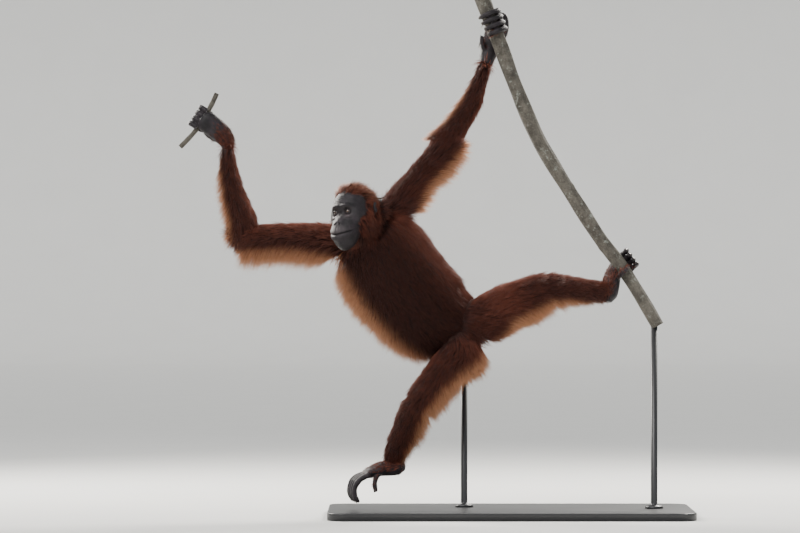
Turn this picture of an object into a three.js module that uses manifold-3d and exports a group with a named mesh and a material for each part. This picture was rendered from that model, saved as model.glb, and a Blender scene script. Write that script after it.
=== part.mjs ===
// Orangutan gripping a vine: a still, life-size display model on a plain stand
// Millimetres, +Z up, +X to the photo's right, the photo's camera looks along +Y
import * as THREE from "three";
import Module from "manifold-3d";

const wasm = await Module();
wasm.setup();

// Driving sizes
const GAP = 0.3;
const COAT_REACH = 0.5;
const BASE_LENGTH = 1200;
const BASE_DEPTH = 620;
const BASE_THICK = 25;
const BASE_CORNER = 60;
const ROD_RADIUS = 11;
const VINE_RADIUS_TOP = 25;
const VINE_RADIUS_LOW = 21.5;
const TWIG_RADIUS = 8;
const FINGER_RADIUS = 9.5;
const TOE_RADIUS = 9;
const HEAD_CENTRE = new THREE.Vector3(-510, -88, 997);
const HEAD_YAW = 36;
const HEAD_PITCH = 2;
const HEAD_ROLL = -7;
const SKULL = { front: 84, side: 69, up: 87 };
const EYE_RADIUS = 11;
const EYE_AZIMUTH = 17;
const EYE_ELEVATION = 1;
const EYE_DEPTH = 70;

// Materials
const skinPaint = new THREE.MeshStandardMaterial({ color: 0x3b3230, roughness: 0.7 });
const coatPaint = new THREE.MeshStandardMaterial({ color: 0x6a2f1c, roughness: 0.9 });
const eyePaint = new THREE.MeshStandardMaterial({ color: 0x1c0f0a, roughness: 0.2 });
const barkPaint = new THREE.MeshStandardMaterial({ color: 0x7d7466, roughness: 0.9 });
const standPaint = new THREE.MeshStandardMaterial({ color: 0x2a2b2d, roughness: 0.5 });

// Rows of centre x y z, half width across the view, half depth, and hanging coat
const TORSO = [
  [-118, 42, 572, 26, 26, 0],
  [-150, 36, 602, 78, 70, 8],
  [-203, 28, 640, 118, 92, 20],
  [-267, 20, 684, 146, 108, 34],
  [-330, 14, 749, 151, 116, 42],
  [-381, 12, 814, 152, 116, 46],
  [-419, 14, 878, 144, 112, 48],
  [-446, 16, 928, 124, 98, 40],
  [-468, 14, 962, 82, 72, 16],
  [-478, 12, 982, 36, 36, 0],
];
const NECK = [
  [-462, 18, 930, 66, 62, 14],
  [-466, -6, 958, 68, 62, 20],
  [-474, -34, 984, 66, 62, 18],
  [-484, -58, 1000, 60, 58, 10],
];
const UPPER_ARM_LEFT = [
  [-404, 16, 950, 46, 48, 0],
  [-366, 40, 1030, 52, 50, 44],
  [-314, 66, 1109, 39, 42, 62],
  [-256, 90, 1175, 41, 44, 54],
  [-208, 104, 1238, 47, 46, 36],
  [-188, 106, 1266, 30, 34, 8],
];
const FOREARM_LEFT = [
  [-222, 102, 1222, 38, 38, 4],
  [-198, 105, 1252, 46, 44, 16],
  [-160, 104, 1307, 36, 38, 18],
  [-121, 96, 1373, 31, 34, 18],
  [-97, 88, 1439, 23, 26, 12],
  [-78, 82, 1500, 21, 20, 2],
];
const PALM_LEFT = [
  [-79, 82, 1496, 20, 19, 0],
  [-72, 87, 1524, 26, 20, 0],
  [-60, 93, 1556, 34, 20, 0],
  [-48, 95, 1590, 38, 19, 0],
  [-38, 94, 1622, 38, 18, 0],
  [-34, 90, 1654, 30, 14, 0],
  [-34, 88, 1668, 16, 8, 0],
];
const UPPER_ARM_RIGHT = [
  [-530, -4, 902, 44, 46, 20],
  [-605, -30, 915, 49, 50, 70],
  [-693, -55, 924, 43, 46, 80],
  [-759, -75, 926, 40, 44, 82],
  [-818, -93, 923, 39, 43, 76],
  [-858, -104, 922, 38, 41, 44],
  [-892, -110, 926, 20, 24, 8],
];
const FOREARM_RIGHT = [
  [-866, -104, 905, 26, 28, 6],
  [-872, -107, 936, 43, 42, 26],
  [-877, -112, 987, 43, 42, 32],
  [-893, -118, 1036, 37, 38, 33],
  [-911, -124, 1102, 29, 32, 32],
  [-922, -128, 1172, 22, 25, 22],
  [-927, -130, 1222, 20, 20, 3],
];
const PALM_RIGHT = [
  [-926, -130, 1216, 20, 19, 0],
  [-934, -136, 1238, 28, 20, 0],
  [-951, -144, 1260, 33, 20, 0],
  [-973, -152, 1280, 35, 19, 0],
  [-996, -157, 1297, 35, 17, 0],
  [-1014, -157, 1310, 28, 13, 0],
];
const THIGH_LEFT = [
  [-196, 14, 634, 62, 62, 0],
  [-89, 0, 655, 76, 74, 12],
  [-20, -22, 696, 67, 70, 46],
  [50, -42, 728, 59, 61, 46],
  [99, -53, 750, 50, 54, 50],
  [142, -54, 758, 26, 30, 14],
];
const SHANK_LEFT = [
  [84, -52, 746, 40, 42, 20],
  [122, -53, 754, 48, 49, 42],
  [160, -48, 757, 44, 45, 34],
  [198, -40, 755, 40, 41, 24],
  [244, -28, 749, 37, 38, 14],
  [292, -16, 744, 33, 34, 6],
  [312, -12, 742, 24, 26, 0],
];
const SOLE_LEFT = [
  [324, -10, 706, 12, 16, 0],
  [326, -6, 726, 27, 31, 0],
  [332, 6, 756, 30, 34, 0],
  [340, 24, 788, 27, 36, 0],
  [350, 40, 818, 22, 36, 0],
  [358, 49, 842, 14, 28, 0],
];
const THIGH_RIGHT = [
  [-176, 16, 616, 56, 58, 0],
  [-168, -4, 556, 74, 70, 40],
  [-201, -28, 510, 57, 62, 44],
  [-247, -50, 456, 49, 54, 54],
  [-294, -66, 399, 43, 49, 50],
  [-322, -68, 362, 24, 28, 12],
];
const SHANK_RIGHT = [
  [-296, -62, 402, 32, 36, 10],
  [-312, -63, 372, 42, 45, 46],
  [-331, -56, 336, 42, 44, 48],
  [-348, -47, 296, 40, 41, 36],
  [-368, -36, 251, 35, 36, 24],
  [-386, -25, 202, 29, 29, 16],
  [-390, -21, 174, 22, 24, 4],
];
const SOLE_RIGHT = [
  [-346, -12, 160, 10, 14, 0],
  [-364, -14, 162, 25, 27, 0],
  [-395, -22, 160, 27, 32, 0],
  [-430, -31, 155, 23, 36, 0],
  [-462, -38, 145, 19, 38, 0],
  [-488, -42, 134, 13, 34, 0],
];
const VINE_LINE = [
  [-108, 56, 1756],
  [-88, 55, 1706],
  [-60, 52, 1630],
  [-31, 50, 1557],
  [18, 45, 1424],
  [85, 38, 1265],
  [133, 33, 1176],
  [210, 25, 1053],
  [295, 16, 921],
  [367, 10, 825],
  [423, 6, 739],
  [488, 2, 627],
];
const TWIG_LINE = [
  [-1082, -133, 1214],
  [-1040, -131, 1258],
  [-1008, -130, 1303],
  [-980, -130, 1352],
  [-962, -131, 1390],
];

// Way each hanging coat falls
const DOWN = new THREE.Vector3(0, 0, -1);
const COAT_FALL = {
  torso: new THREE.Vector3(-0.6, 0, -0.8),
  neck: new THREE.Vector3(0.2, -0.3, -0.93),
  upperArmLeft: new THREE.Vector3(0.8, 0, -0.6),
  forearmLeft: new THREE.Vector3(-0.95, 0, 0.3),
  forearmRight: new THREE.Vector3(-0.97, 0, -0.25),
  legRight: new THREE.Vector3(0.94, 0, -0.34),
};

// Rows of hanging locks: part of the limb from and to, how many, spread in degrees, slant and seed
const LOCK_ROWS = {
  pelvis: [{ from: 0.14, to: 0.3, count: 3, spread: 16, slant: 0.2, seed: 11, width: 24 }],
  abdomen: [{ from: 0.34, to: 0.53, count: 6, spread: 18, slant: -0.1, seed: 12, width: 24 }],
  chest: [{ from: 0.57, to: 0.88, count: 8, spread: 20, slant: -0.2, seed: 13, width: 23 }],
  neck: [{ from: 0.1, to: 0.8, count: 4, spread: 24, slant: -0.5, seed: 14, width: 18 }],
  upper_arm_left: [{ from: 0.2, to: 0.84, count: 10, spread: 24, slant: -0.5, seed: 15, width: 18 }],
  forearm_left: [{ from: 0.3, to: 0.85, count: 7, spread: 20, slant: -0.9, seed: 16, width: 12 }],
  upper_arm_right: [{ from: 0.13, to: 0.82, count: 13, spread: 20, slant: 0.25, seed: 17, width: 18 }],
  forearm_right: [{ from: 0.18, to: 0.86, count: 9, spread: 24, slant: -0.7, seed: 18, width: 14 }],
  thigh_left: [{ from: 0.3, to: 0.9, count: 9, spread: 22, slant: 0.2, seed: 19, width: 18 }],
  lower_leg_left: [{ from: 0.22, to: 0.8, count: 6, spread: 20, slant: 0.1, seed: 20, width: 15 }],
  thigh_right: [{ from: 0.3, to: 0.85, count: 9, spread: 22, slant: 0.5, seed: 21, width: 18 }],
  lower_leg_right: [{ from: 0.2, to: 0.88, count: 8, spread: 22, slant: 0.5, seed: 22, width: 15 }],
};
// Locks of the crown, the two cheeks and the beard: directions, how many, length, lie, seed and width
const HEAD_LOCKS = [
  { turn: [-60, 60], rise: [58, 66], count: 4, length: 26, back: 0.9, down: -0.4, seed: 31, width: 15 },
  { turn: [75, 120], rise: [-40, -12], count: 3, length: 34, back: 0.3, down: 1, seed: 32, width: 14 },
  { turn: [-120, -75], rise: [-40, -12], count: 3, length: 34, back: 0.3, down: 1, seed: 33, width: 14 },
  { turn: [-42, 42], rise: [-74, -70], count: 3, length: 24, back: -0.1, down: 1, seed: 34, width: 13 },
];

// Smooth rows between the given ones, each column on its own spline
function smoothRows(table, steps) {
  const rows = [];
  const last = table.length - 1;
  for (let place = 0; place <= last * steps; place += 1) {
    const span = Math.min(Math.floor(place / steps), last - 1);
    const part = place / steps - span;
    const before = table[Math.max(span - 1, 0)];
    const after = table[Math.min(span + 2, last)];
    const start = table[span];
    const end = table[span + 1];
    const row = start.map((value, column) => {
      const pull = (end[column] - before[column]) / 2;
      const push = (after[column] - value) / 2;
      const square = part * part;
      const cube = square * part;
      const rise = (2 * cube - 3 * square + 1) * value + (3 * square - 2 * cube) * end[column];
      return rise + (cube - 2 * square + part) * pull + (cube - square) * push;
    });
    rows.push(row);
  }
  return rows;
}

// Closed surface through equal rings of points, with a fan at each end
function skinRings(rings) {
  const sides = rings[0].length;
  const points = [];
  const faces = [];
  rings.forEach((ring) => ring.forEach((point) => points.push(point.x, point.y, point.z)));
  for (let level = 0; level < rings.length - 1; level += 1) {
    for (let side = 0; side < sides; side += 1) {
      const next = (side + 1) % sides;
      const a = level * sides + side;
      const b = level * sides + next;
      const c = a + sides;
      const d = b + sides;
      faces.push(a, b, d, a, d, c);
    }
  }
  const ends = [rings[0], rings[rings.length - 1]];
  ends.forEach((ring, which) => {
    const middle = ring.reduce((sum, point) => sum.add(point), new THREE.Vector3());
    middle.divideScalar(sides);
    const hub = points.length / 3;
    points.push(middle.x, middle.y, middle.z);
    const first = which * (rings.length - 1) * sides;
    for (let side = 0; side < sides; side += 1) {
      const next = (side + 1) % sides;
      const pair = which === 0 ? [first + next, first + side] : [first + side, first + next];
      faces.push(hub, pair[0], pair[1]);
    }
  });
  const shape = new THREE.BufferGeometry();
  shape.setAttribute("position", new THREE.Float32BufferAttribute(points, 3));
  shape.setIndex(faces);
  return shape;
}

// Centre, along, across and depth directions at every row
function rowFrames(rows) {
  const toCamera = new THREE.Vector3(0, 1, 0);
  return rows.map((row, index) => {
    const before = rows[Math.max(index - 1, 0)];
    const after = rows[Math.min(index + 1, rows.length - 1)];
    const along = new THREE.Vector3(after[0] - before[0], after[1] - before[1], after[2] - before[2]);
    along.normalize();
    const across = toCamera.clone().cross(along).normalize();
    const depth = along.clone().cross(across).normalize();
    return { centre: new THREE.Vector3(row[0], row[1], row[2]), along, across, depth, row };
  });
}

// Point on a limb ring at an angle, with the coat's hang added on its falling side
function ringPoint(frame, angle, fall, grow) {
  const out = frame.across.clone().multiplyScalar(Math.cos(angle));
  out.addScaledVector(frame.depth, Math.sin(angle));
  const point = frame.centre.clone();
  point.addScaledVector(frame.across, Math.cos(angle) * (frame.row[3] + grow));
  point.addScaledVector(frame.depth, Math.sin(angle) * (frame.row[4] + grow));
  if (fall) {
    const level = fall.clone().addScaledVector(frame.along, -fall.dot(frame.along)).normalize();
    const share = Math.max(out.dot(level), 0) ** 2.2;
    point.addScaledVector(level, frame.row[5] * COAT_REACH * share);
  }
  return point;
}

// Limb or trunk solid from a table of rows
function limb(table, sides, steps, fall, grow = 0) {
  const frames = rowFrames(smoothRows(table, steps));
  const rings = frames.map((frame, index) => {
    const ring = [];
    const end = index === 0 ? -1 : index === frames.length - 1 ? 1 : 0;
    for (let side = 0; side < sides; side += 1) {
      const point = ringPoint(frame, (side / sides) * Math.PI * 2, fall, grow);
      point.addScaledVector(frame.along, end * grow);
      ring.push(point);
    }
    return ring;
  });
  return solidOf(skinRings(rings));
}

// Repeatable random numbers from 0 to 1
function randomSource(seed) {
  let state = seed * 7919 + 17;
  return () => {
    state = (state * 48271) % 2147483647;
    return state / 2147483647;
  };
}

// Flat tapered lock from a sunk root over a middle to its tip, broad side toward facing
function lockSolid(root, middle, tip, facing, width, thick, grow) {
  const curve = new THREE.QuadraticBezierCurve3(root, middle, tip);
  const broad = [0.9, 1, 0.1];
  const deep = [1, 0.9, 0.2];
  const rings = [0, 0.5, 1].map((part, level) => {
    const along = curve.getTangent(part);
    const side = along.clone().cross(facing).normalize();
    const face = side.clone().cross(along).normalize();
    const centre = curve.getPoint(part);
    const push = level === 2 ? grow : level === 0 ? -grow : 0;
    centre.addScaledVector(along, push);
    const reachSide = width * broad[level] + grow;
    const reachFace = thick * deep[level] + grow;
    return [
      centre.clone().addScaledVector(side, reachSide),
      centre.clone().addScaledVector(face, reachFace),
      centre.clone().addScaledVector(side, -reachSide),
      centre.clone().addScaledVector(face, -reachFace),
    ];
  });
  return orient(skinRings(rings));
}

// Locks that hang from the falling side of a limb or the trunk
function hangingLocks(table, fall, spec, grow) {
  const frames = rowFrames(smoothRows(table, 8));
  const random = randomSource(spec.seed);
  const locks = [];
  for (let number = 0; number < spec.count; number += 1) {
    const share = (number + 0.5 + (random() - 0.5) * 0.5) / spec.count;
    const place = spec.from + (spec.to - spec.from) * share;
    const frame = frames[Math.round(place * (frames.length - 1))];
    const level = fall.clone().addScaledVector(frame.along, -fall.dot(frame.along)).normalize();
    const straight = Math.atan2(level.dot(frame.depth), level.dot(frame.across));
    const side = (number % 3) - 1 + (random() - 0.5) * 0.5;
    const angle = straight + THREE.MathUtils.degToRad(side * spec.spread);
    const out = frame.across.clone().multiplyScalar(Math.cos(angle));
    out.addScaledVector(frame.depth, Math.sin(angle));
    const surface = ringPoint(frame, angle, fall, 0);
    const hang = frame.row[5] * (1 - COAT_REACH) * (0.85 + 0.3 * random()) + 10;
    const root = surface.clone().addScaledVector(out, -12);
    const middle = surface.clone().addScaledVector(out, 5);
    middle.addScaledVector(level, hang * 0.25).addScaledVector(frame.along, spec.slant * hang * 0.4);
    const tip = surface.clone().addScaledVector(level, hang);
    tip.addScaledVector(frame.along, spec.slant * hang);
    const width = spec.width * (0.85 + 0.3 * random());
    const facing = out.clone().addScaledVector(frame.depth, -1.2).normalize();
    locks.push(lockSolid(root, middle, tip, facing, width, 6, grow));
  }
  return locks;
}

// Locks of the crown, cheeks and beard
function headLocks(grow) {
  const locks = [];
  HEAD_LOCKS.forEach((spec) => {
    const random = randomSource(spec.seed);
    for (let number = 0; number < spec.count; number += 1) {
      const share = (number + 0.5) / spec.count;
      const azimuth = THREE.MathUtils.lerp(spec.turn[0], spec.turn[1], share);
      const elevation = THREE.MathUtils.lerp(spec.rise[0], spec.rise[1], random());
      const surface = headPoint(azimuth, elevation);
      const out = surface.clone().sub(headPoint(azimuth, elevation, -10)).normalize();
      const fall = HEAD_AXES.forward.clone().multiplyScalar(-spec.back);
      fall.addScaledVector(HEAD_AXES.up, -spec.down).addScaledVector(out, 0.25).normalize();
      const root = surface.clone().addScaledVector(out, -9);
      const middle = surface.clone().addScaledVector(out, 4).addScaledVector(fall, spec.length * 0.3);
      const tip = surface.clone().addScaledVector(fall, spec.length * (0.85 + 0.3 * random()));
      locks.push(lockSolid(root, middle, tip, out, spec.width, 5, grow));
    }
  });
  return locks;
}

// One solid from a core and the locks rooted in it
function fuse(core, locks) {
  return locks.reduce((sum, one) => sum.add(one), core);
}

// Manifold solid from a three.js geometry with shared corners
function solidOf(shape) {
  const mesh = new wasm.Mesh({
    numProp: 3,
    vertProperties: new Float32Array(shape.attributes.position.array),
    triVerts: new Uint32Array(shape.index.array),
  });
  return new wasm.Manifold(mesh);
}

// Largest closed body of a solid
function largest(solid) {
  const bodies = solid.decompose();
  return bodies.reduce((best, body) => (body.volume() > best.volume() ? body : best));
}

// Round tube along points, rounded at its far end
function tube(points, radius, sides, count, grow = 0, blunt = 0.35) {
  const line = new THREE.CatmullRomCurve3(points);
  const rows = [];
  for (let step = 0; step < count; step += 1) {
    const part = 1 - (1 - step / (count - 1)) ** 1.25;
    const point = line.getPointAt(part);
    const left = (1 - part) / 0.16;
    const round = left < 1 ? Math.sqrt(Math.max(1 - (1 - left) ** 2, 0)) : 1;
    const size = radius * Math.max(round, blunt) * (1.04 - 0.12 * part);
    rows.push([point.x, point.y, point.z, size, size, 0]);
  }
  const frames = rowFrames(rows);
  const rings = frames.map((frame, index) => {
    const ring = [];
    const end = index === frames.length - 1 ? grow : 0;
    for (let side = 0; side < sides; side += 1) {
      const point = ringPoint(frame, (side / sides) * Math.PI * 2, null, grow);
      ring.push(point.addScaledVector(frame.along, end));
    }
    return ring;
  });
  return solidOf(skinRings(rings));
}

// Digit bent round a rod: centre, the rod's axis, start and end angle, and reach on each side
function wrapPoints(centre, axis, from, to, reachAcross, reachFront, slide) {
  const across = new THREE.Vector3(0, 1, 0).cross(axis).normalize();
  const front = across.clone().cross(axis).normalize();
  if (front.y > 0) {
    front.negate();
  }
  const points = [];
  const count = 9;
  for (let step = 0; step < count; step += 1) {
    const part = step / (count - 1);
    const angle = THREE.MathUtils.degToRad(from + (to - from) * part);
    const point = centre.clone();
    point.addScaledVector(across, Math.cos(angle) * reachAcross);
    point.addScaledVector(front, Math.sin(angle) * reachFront);
    point.addScaledVector(axis, slide * part);
    points.push(point);
  }
  return points;
}

// Point and upward direction of a line of points at a height
function lineAt(line, height) {
  const curve = new THREE.CatmullRomCurve3(line.map((point) => new THREE.Vector3(...point)));
  let best = 0;
  let nearest = Infinity;
  for (let step = 0; step <= 400; step += 1) {
    const off = Math.abs(curve.getPoint(step / 400).z - height);
    if (off < nearest) {
      nearest = off;
      best = step / 400;
    }
  }
  const axis = curve.getTangent(best);
  if (axis.z < 0) {
    axis.negate();
  }
  return { point: curve.getPoint(best), axis };
}

// Stem of even bends with slight swellings, cut flat at both ends
function stem(line, radiusTop, radiusLow, sides, count, grow) {
  const curve = new THREE.CatmullRomCurve3(line.map((point) => new THREE.Vector3(...point)));
  const rows = [];
  for (let step = 0; step < count; step += 1) {
    const part = step / (count - 1);
    const point = curve.getPointAt(part);
    const swell = 1 + 0.035 * Math.sin(part * 41) + 0.02 * Math.sin(part * 17 + 1);
    const size = THREE.MathUtils.lerp(radiusTop, radiusLow, part) * swell;
    rows.push([point.x, point.y, point.z, size, size, 0]);
  }
  const rings = rowFrames(rows).map((frame, index) => {
    const ring = [];
    const end = index === 0 ? -1 : index === count - 1 ? 1 : 0;
    for (let side = 0; side < sides; side += 1) {
      const point = ringPoint(frame, (side / sides) * Math.PI * 2, null, grow);
      ring.push(point.addScaledVector(frame.along, end * grow));
    }
    return ring;
  });
  return solidOf(skinRings(rings));
}

// Head directions: forward, animal's left, and up
function headAxes() {
  const turn = THREE.MathUtils.degToRad(HEAD_YAW);
  const pitch = THREE.MathUtils.degToRad(HEAD_PITCH);
  const roll = THREE.MathUtils.degToRad(HEAD_ROLL);
  const forward = new THREE.Vector3(-Math.sin(turn), -Math.cos(turn), Math.tan(pitch)).normalize();
  const left = new THREE.Vector3(Math.cos(turn), -Math.sin(turn), 0);
  const up = forward.clone().cross(left).negate().normalize();
  if (up.z < 0) {
    up.negate();
  }
  left.applyAxisAngle(forward, -roll);
  up.applyAxisAngle(forward, -roll);
  return { forward, left, up };
}
const HEAD_AXES = headAxes();

// World point from head distances forward, left and up
function headSpot(forward, left, up) {
  const point = HEAD_CENTRE.clone();
  point.addScaledVector(HEAD_AXES.forward, forward);
  point.addScaledVector(HEAD_AXES.left, left);
  point.addScaledVector(HEAD_AXES.up, up);
  return point;
}

// Soft bump of one direction: size, azimuth, elevation, and spread in degrees
function bump(azimuth, elevation, size, atAzimuth, atElevation, spreadAzimuth, spreadUp, spreadDown) {
  const sideways = (azimuth - atAzimuth) / spreadAzimuth;
  const spread = elevation > atElevation ? spreadUp : spreadDown ?? spreadUp;
  const upward = (elevation - atElevation) / spread;
  return size * Math.exp(-sideways * sideways - upward * upward);
}

// Radius of the head in a direction given in degrees
function headRadius(azimuth, elevation) {
  const level = Math.cos(THREE.MathUtils.degToRad(elevation));
  const forward = level * Math.cos(THREE.MathUtils.degToRad(azimuth));
  const side = level * Math.sin(THREE.MathUtils.degToRad(azimuth));
  const rise = Math.sin(THREE.MathUtils.degToRad(elevation));
  const inside = (forward / SKULL.front) ** 2 + (side / SKULL.side) ** 2 + (rise / SKULL.up) ** 2;
  let radius = 1 / Math.sqrt(inside);
  const away = Math.abs(azimuth);
  radius += bump(azimuth, elevation, 54, 0, -38, 27, 19, 23);
  radius += bump(azimuth, elevation, 7, 0, -14, 9, 8);
  radius += bump(azimuth, elevation, 28, 0, -60, 32, 16, 16);
  radius += bump(away, elevation, 4, 8, -21, 5, 5);
  radius -= bump(away, elevation, 12, EYE_AZIMUTH, EYE_ELEVATION, 8, 7);
  radius += bump(away, elevation, 5, 14, 13, 15, 5);
  radius += bump(away, elevation, 6, 48, -8, 22, 18);
  radius += bump(azimuth, elevation, 20 * COAT_REACH, 0, -66, 60, 16, 18);
  radius += bump(away, elevation, 14 * COAT_REACH, 95, -28, 36, 30);
  radius += bump(azimuth, elevation, 8, 0, 78, 200, 40);
  return radius;
}

// Head surface point from directions in degrees, moved out by grow
function headPoint(azimuth, elevation, grow = 0) {
  const radius = headRadius(azimuth, elevation) + grow;
  const level = Math.cos(THREE.MathUtils.degToRad(elevation)) * radius;
  const forward = level * Math.cos(THREE.MathUtils.degToRad(azimuth));
  const side = level * Math.sin(THREE.MathUtils.degToRad(azimuth));
  return headSpot(forward, side, Math.sin(THREE.MathUtils.degToRad(elevation)) * radius);
}

// Closed head form, with columns closest together at the face
function headForm(columns, rows, grow) {
  const rings = [];
  for (let row = 1; row < rows; row += 1) {
    const elevation = -90 + (180 * row) / rows;
    const ring = [];
    for (let column = 0; column < columns; column += 1) {
      const share = (2 * column) / columns - 1;
      const azimuth = 180 * (0.5 * share + 0.5 * share ** 3);
      ring.push(headPoint(azimuth, elevation, grow));
    }
    rings.push(ring.reverse());
  }
  return orient(skinRings(rings));
}

// Solid turned right side out when its faces point inward
function orient(shape) {
  const solid = solidOf(shape);
  if (solid.volume() > 0) {
    return solid;
  }
  const order = Array.from(shape.index.array);
  for (let face = 0; face < order.length; face += 3) {
    [order[face], order[face + 1]] = [order[face + 1], order[face]];
  }
  shape.setIndex(order);
  return solidOf(shape);
}

// Ellipsoid with three half axes given as vectors
function ellipsoid(centre, first, second, third, sides, rows) {
  const rings = [];
  for (let row = 1; row < rows; row += 1) {
    const rise = -Math.cos((Math.PI * row) / rows);
    const level = Math.sin((Math.PI * row) / rows);
    const ring = [];
    for (let side = 0; side < sides; side += 1) {
      const angle = (side / sides) * Math.PI * 2;
      const point = centre.clone().addScaledVector(third, rise);
      point.addScaledVector(first, Math.cos(angle) * level);
      point.addScaledVector(second, Math.sin(angle) * level);
      ring.push(point);
    }
    rings.push(ring);
  }
  return orient(skinRings(rings));
}

// Ellipsoid along the head's own directions
function headBlob(spot, forward, left, up, sides, rows) {
  const first = HEAD_AXES.forward.clone().multiplyScalar(forward);
  const second = HEAD_AXES.left.clone().multiplyScalar(left);
  const third = HEAD_AXES.up.clone().multiplyScalar(up);
  return ellipsoid(spot, first, second, third, sides, rows);
}

// Roll or groove that follows the face at an elevation which bends with azimuth
function faceBand(elevation, droop, reach, inward, thick, tall) {
  const points = [];
  const rings = [];
  const count = 9;
  for (let step = 0; step < count; step += 1) {
    const share = (2 * step) / (count - 1) - 1;
    const azimuth = share * reach;
    const height = elevation - droop * share * share;
    points.push({ azimuth, height, share });
  }
  points.forEach((spot) => {
    const ring = [];
    const fade = Math.sqrt(Math.max(1 - spot.share ** 4, 0.05));
    for (let side = 0; side < 6; side += 1) {
      const angle = (side / 6) * Math.PI * 2;
      const surface = headPoint(spot.azimuth, spot.height, -inward + Math.cos(angle) * thick * fade);
      surface.addScaledVector(HEAD_AXES.up, Math.sin(angle) * tall * fade);
      ring.push(surface);
    }
    rings.push(ring);
  });
  return orient(skinRings(rings));
}

// Eye centre of one side
function eyeSpot(side) {
  const turn = THREE.MathUtils.degToRad(EYE_AZIMUTH * side);
  const lift = THREE.MathUtils.degToRad(EYE_ELEVATION);
  return headSpot(EYE_DEPTH * Math.cos(turn), EYE_DEPTH * Math.sin(turn) * 1.12, EYE_DEPTH * Math.sin(lift));
}

// Almond opening between the lids
function lidOpening(side) {
  const centre = eyeSpot(side);
  const rings = [];
  [6, 14, 30].forEach((reach, level) => {
    const ring = [];
    const flare = [0.9, 1, 1.9][level];
    for (let place = 0; place < 10; place += 1) {
      const angle = (place / 10) * Math.PI * 2;
      const point = centre.clone().addScaledVector(HEAD_AXES.forward, reach);
      point.addScaledVector(HEAD_AXES.left, Math.cos(angle) * 8.4 * flare + side * reach * 0.16);
      point.addScaledVector(HEAD_AXES.up, Math.sin(angle) * Math.abs(Math.sin(angle)) ** 0.25 * 4.8 * flare);
      ring.push(point);
    }
    rings.push(ring);
  });
  return orient(skinRings(rings));
}

// Head with lids, lips, line of the mouth and nostrils
function buildHead(grow) {
  let head = fuse(headForm(32, 21, grow), headLocks(grow));
  if (grow > 0) {
    return head;
  }
  [-1, 1].forEach((side) => {
    const ball = headBlob(eyeSpot(side), EYE_RADIUS + 3, EYE_RADIUS + 3, EYE_RADIUS + 2.4, 10, 7);
    head = head.add(ball);
  });
  head = head.add(faceBand(-27.5, 5, 33, 3, 6, 5.5));
  head = head.add(faceBand(-38.5, 0, 31, 3, 6, 5.5));
  head = head.subtract(faceBand(-33, 3, 36, 0.5, 5, 1.5));
  [-1, 1].forEach((side) => {
    head = head.subtract(lidOpening(side));
    const ball = headBlob(eyeSpot(side), EYE_RADIUS + GAP, EYE_RADIUS + GAP, EYE_RADIUS + GAP, 12, 8);
    head = head.subtract(ball);
    head = head.subtract(headBlob(headPoint(side * 5.5, -19.5, -1), 7, 3.6, 2.6, 8, 6));
  });
  return head;
}

// Ear with its cup
function buildEar(side) {
  const spot = headSpot(-12, side * 68, 10);
  const out = HEAD_AXES.left.clone().multiplyScalar(side);
  const tip = HEAD_AXES.forward.clone().multiplyScalar(-0.5).addScaledVector(out, 0.86).normalize();
  const broad = HEAD_AXES.forward.clone().multiplyScalar(0.86).addScaledVector(out, 0.5).normalize();
  const shell = ellipsoid(spot, broad.clone().multiplyScalar(13), tip.clone().multiplyScalar(9),
    HEAD_AXES.up.clone().multiplyScalar(18), 12, 7);
  const hollow = spot.clone().addScaledVector(tip, 9).addScaledVector(broad, 1);
  const cup = ellipsoid(hollow, broad.clone().multiplyScalar(8.5), tip.clone().multiplyScalar(8),
    HEAD_AXES.up.clone().multiplyScalar(12.5), 8, 5);
  return shell.subtract(cup);
}

// Flat base with rounded corners
function buildBase() {
  const halfLength = BASE_LENGTH / 2;
  const halfDepth = BASE_DEPTH / 2;
  const corners = [[1, 1, 0], [-1, 1, 90], [-1, -1, 180], [1, -1, 270]];
  const ring = [];
  corners.forEach(([signX, signY, start]) => {
    for (let step = 0; step <= 6; step += 1) {
      const angle = THREE.MathUtils.degToRad(start + step * 15);
      const x = signX * (halfLength - BASE_CORNER) + Math.cos(angle) * BASE_CORNER;
      const y = signY * (halfDepth - BASE_CORNER) + Math.sin(angle) * BASE_CORNER;
      ring.push(new THREE.Vector2(x, y));
    }
  });
  const bevelled = [[0, 0], [BASE_THICK - 3, 0], [BASE_THICK, 3]];
  const rings = bevelled.map(([height, inset]) => ring.map((point) => {
    const shrinkX = 1 - inset / halfLength;
    const shrinkY = 1 - inset / halfDepth;
    return new THREE.Vector3(point.x * shrinkX, point.y * shrinkY, height);
  }));
  return orient(skinRings(rings));
}

// Upright round rod with a small foot collar
function buildRod(x, y, top) {
  const profile = [[0, 30], [6, 30], [8, 27], [12, ROD_RADIUS + 1], [16, ROD_RADIUS]];
  profile.push([top - BASE_THICK, ROD_RADIUS]);
  const rings = profile.map(([height, radius]) => {
    const ring = [];
    for (let side = 0; side < 14; side += 1) {
      const angle = (side / 14) * Math.PI * 2;
      const z = BASE_THICK + GAP + height;
      ring.push(new THREE.Vector3(x + Math.cos(angle) * radius, y + Math.sin(angle) * radius, z));
    }
    return ring;
  });
  return orient(skinRings(rings));
}

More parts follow.
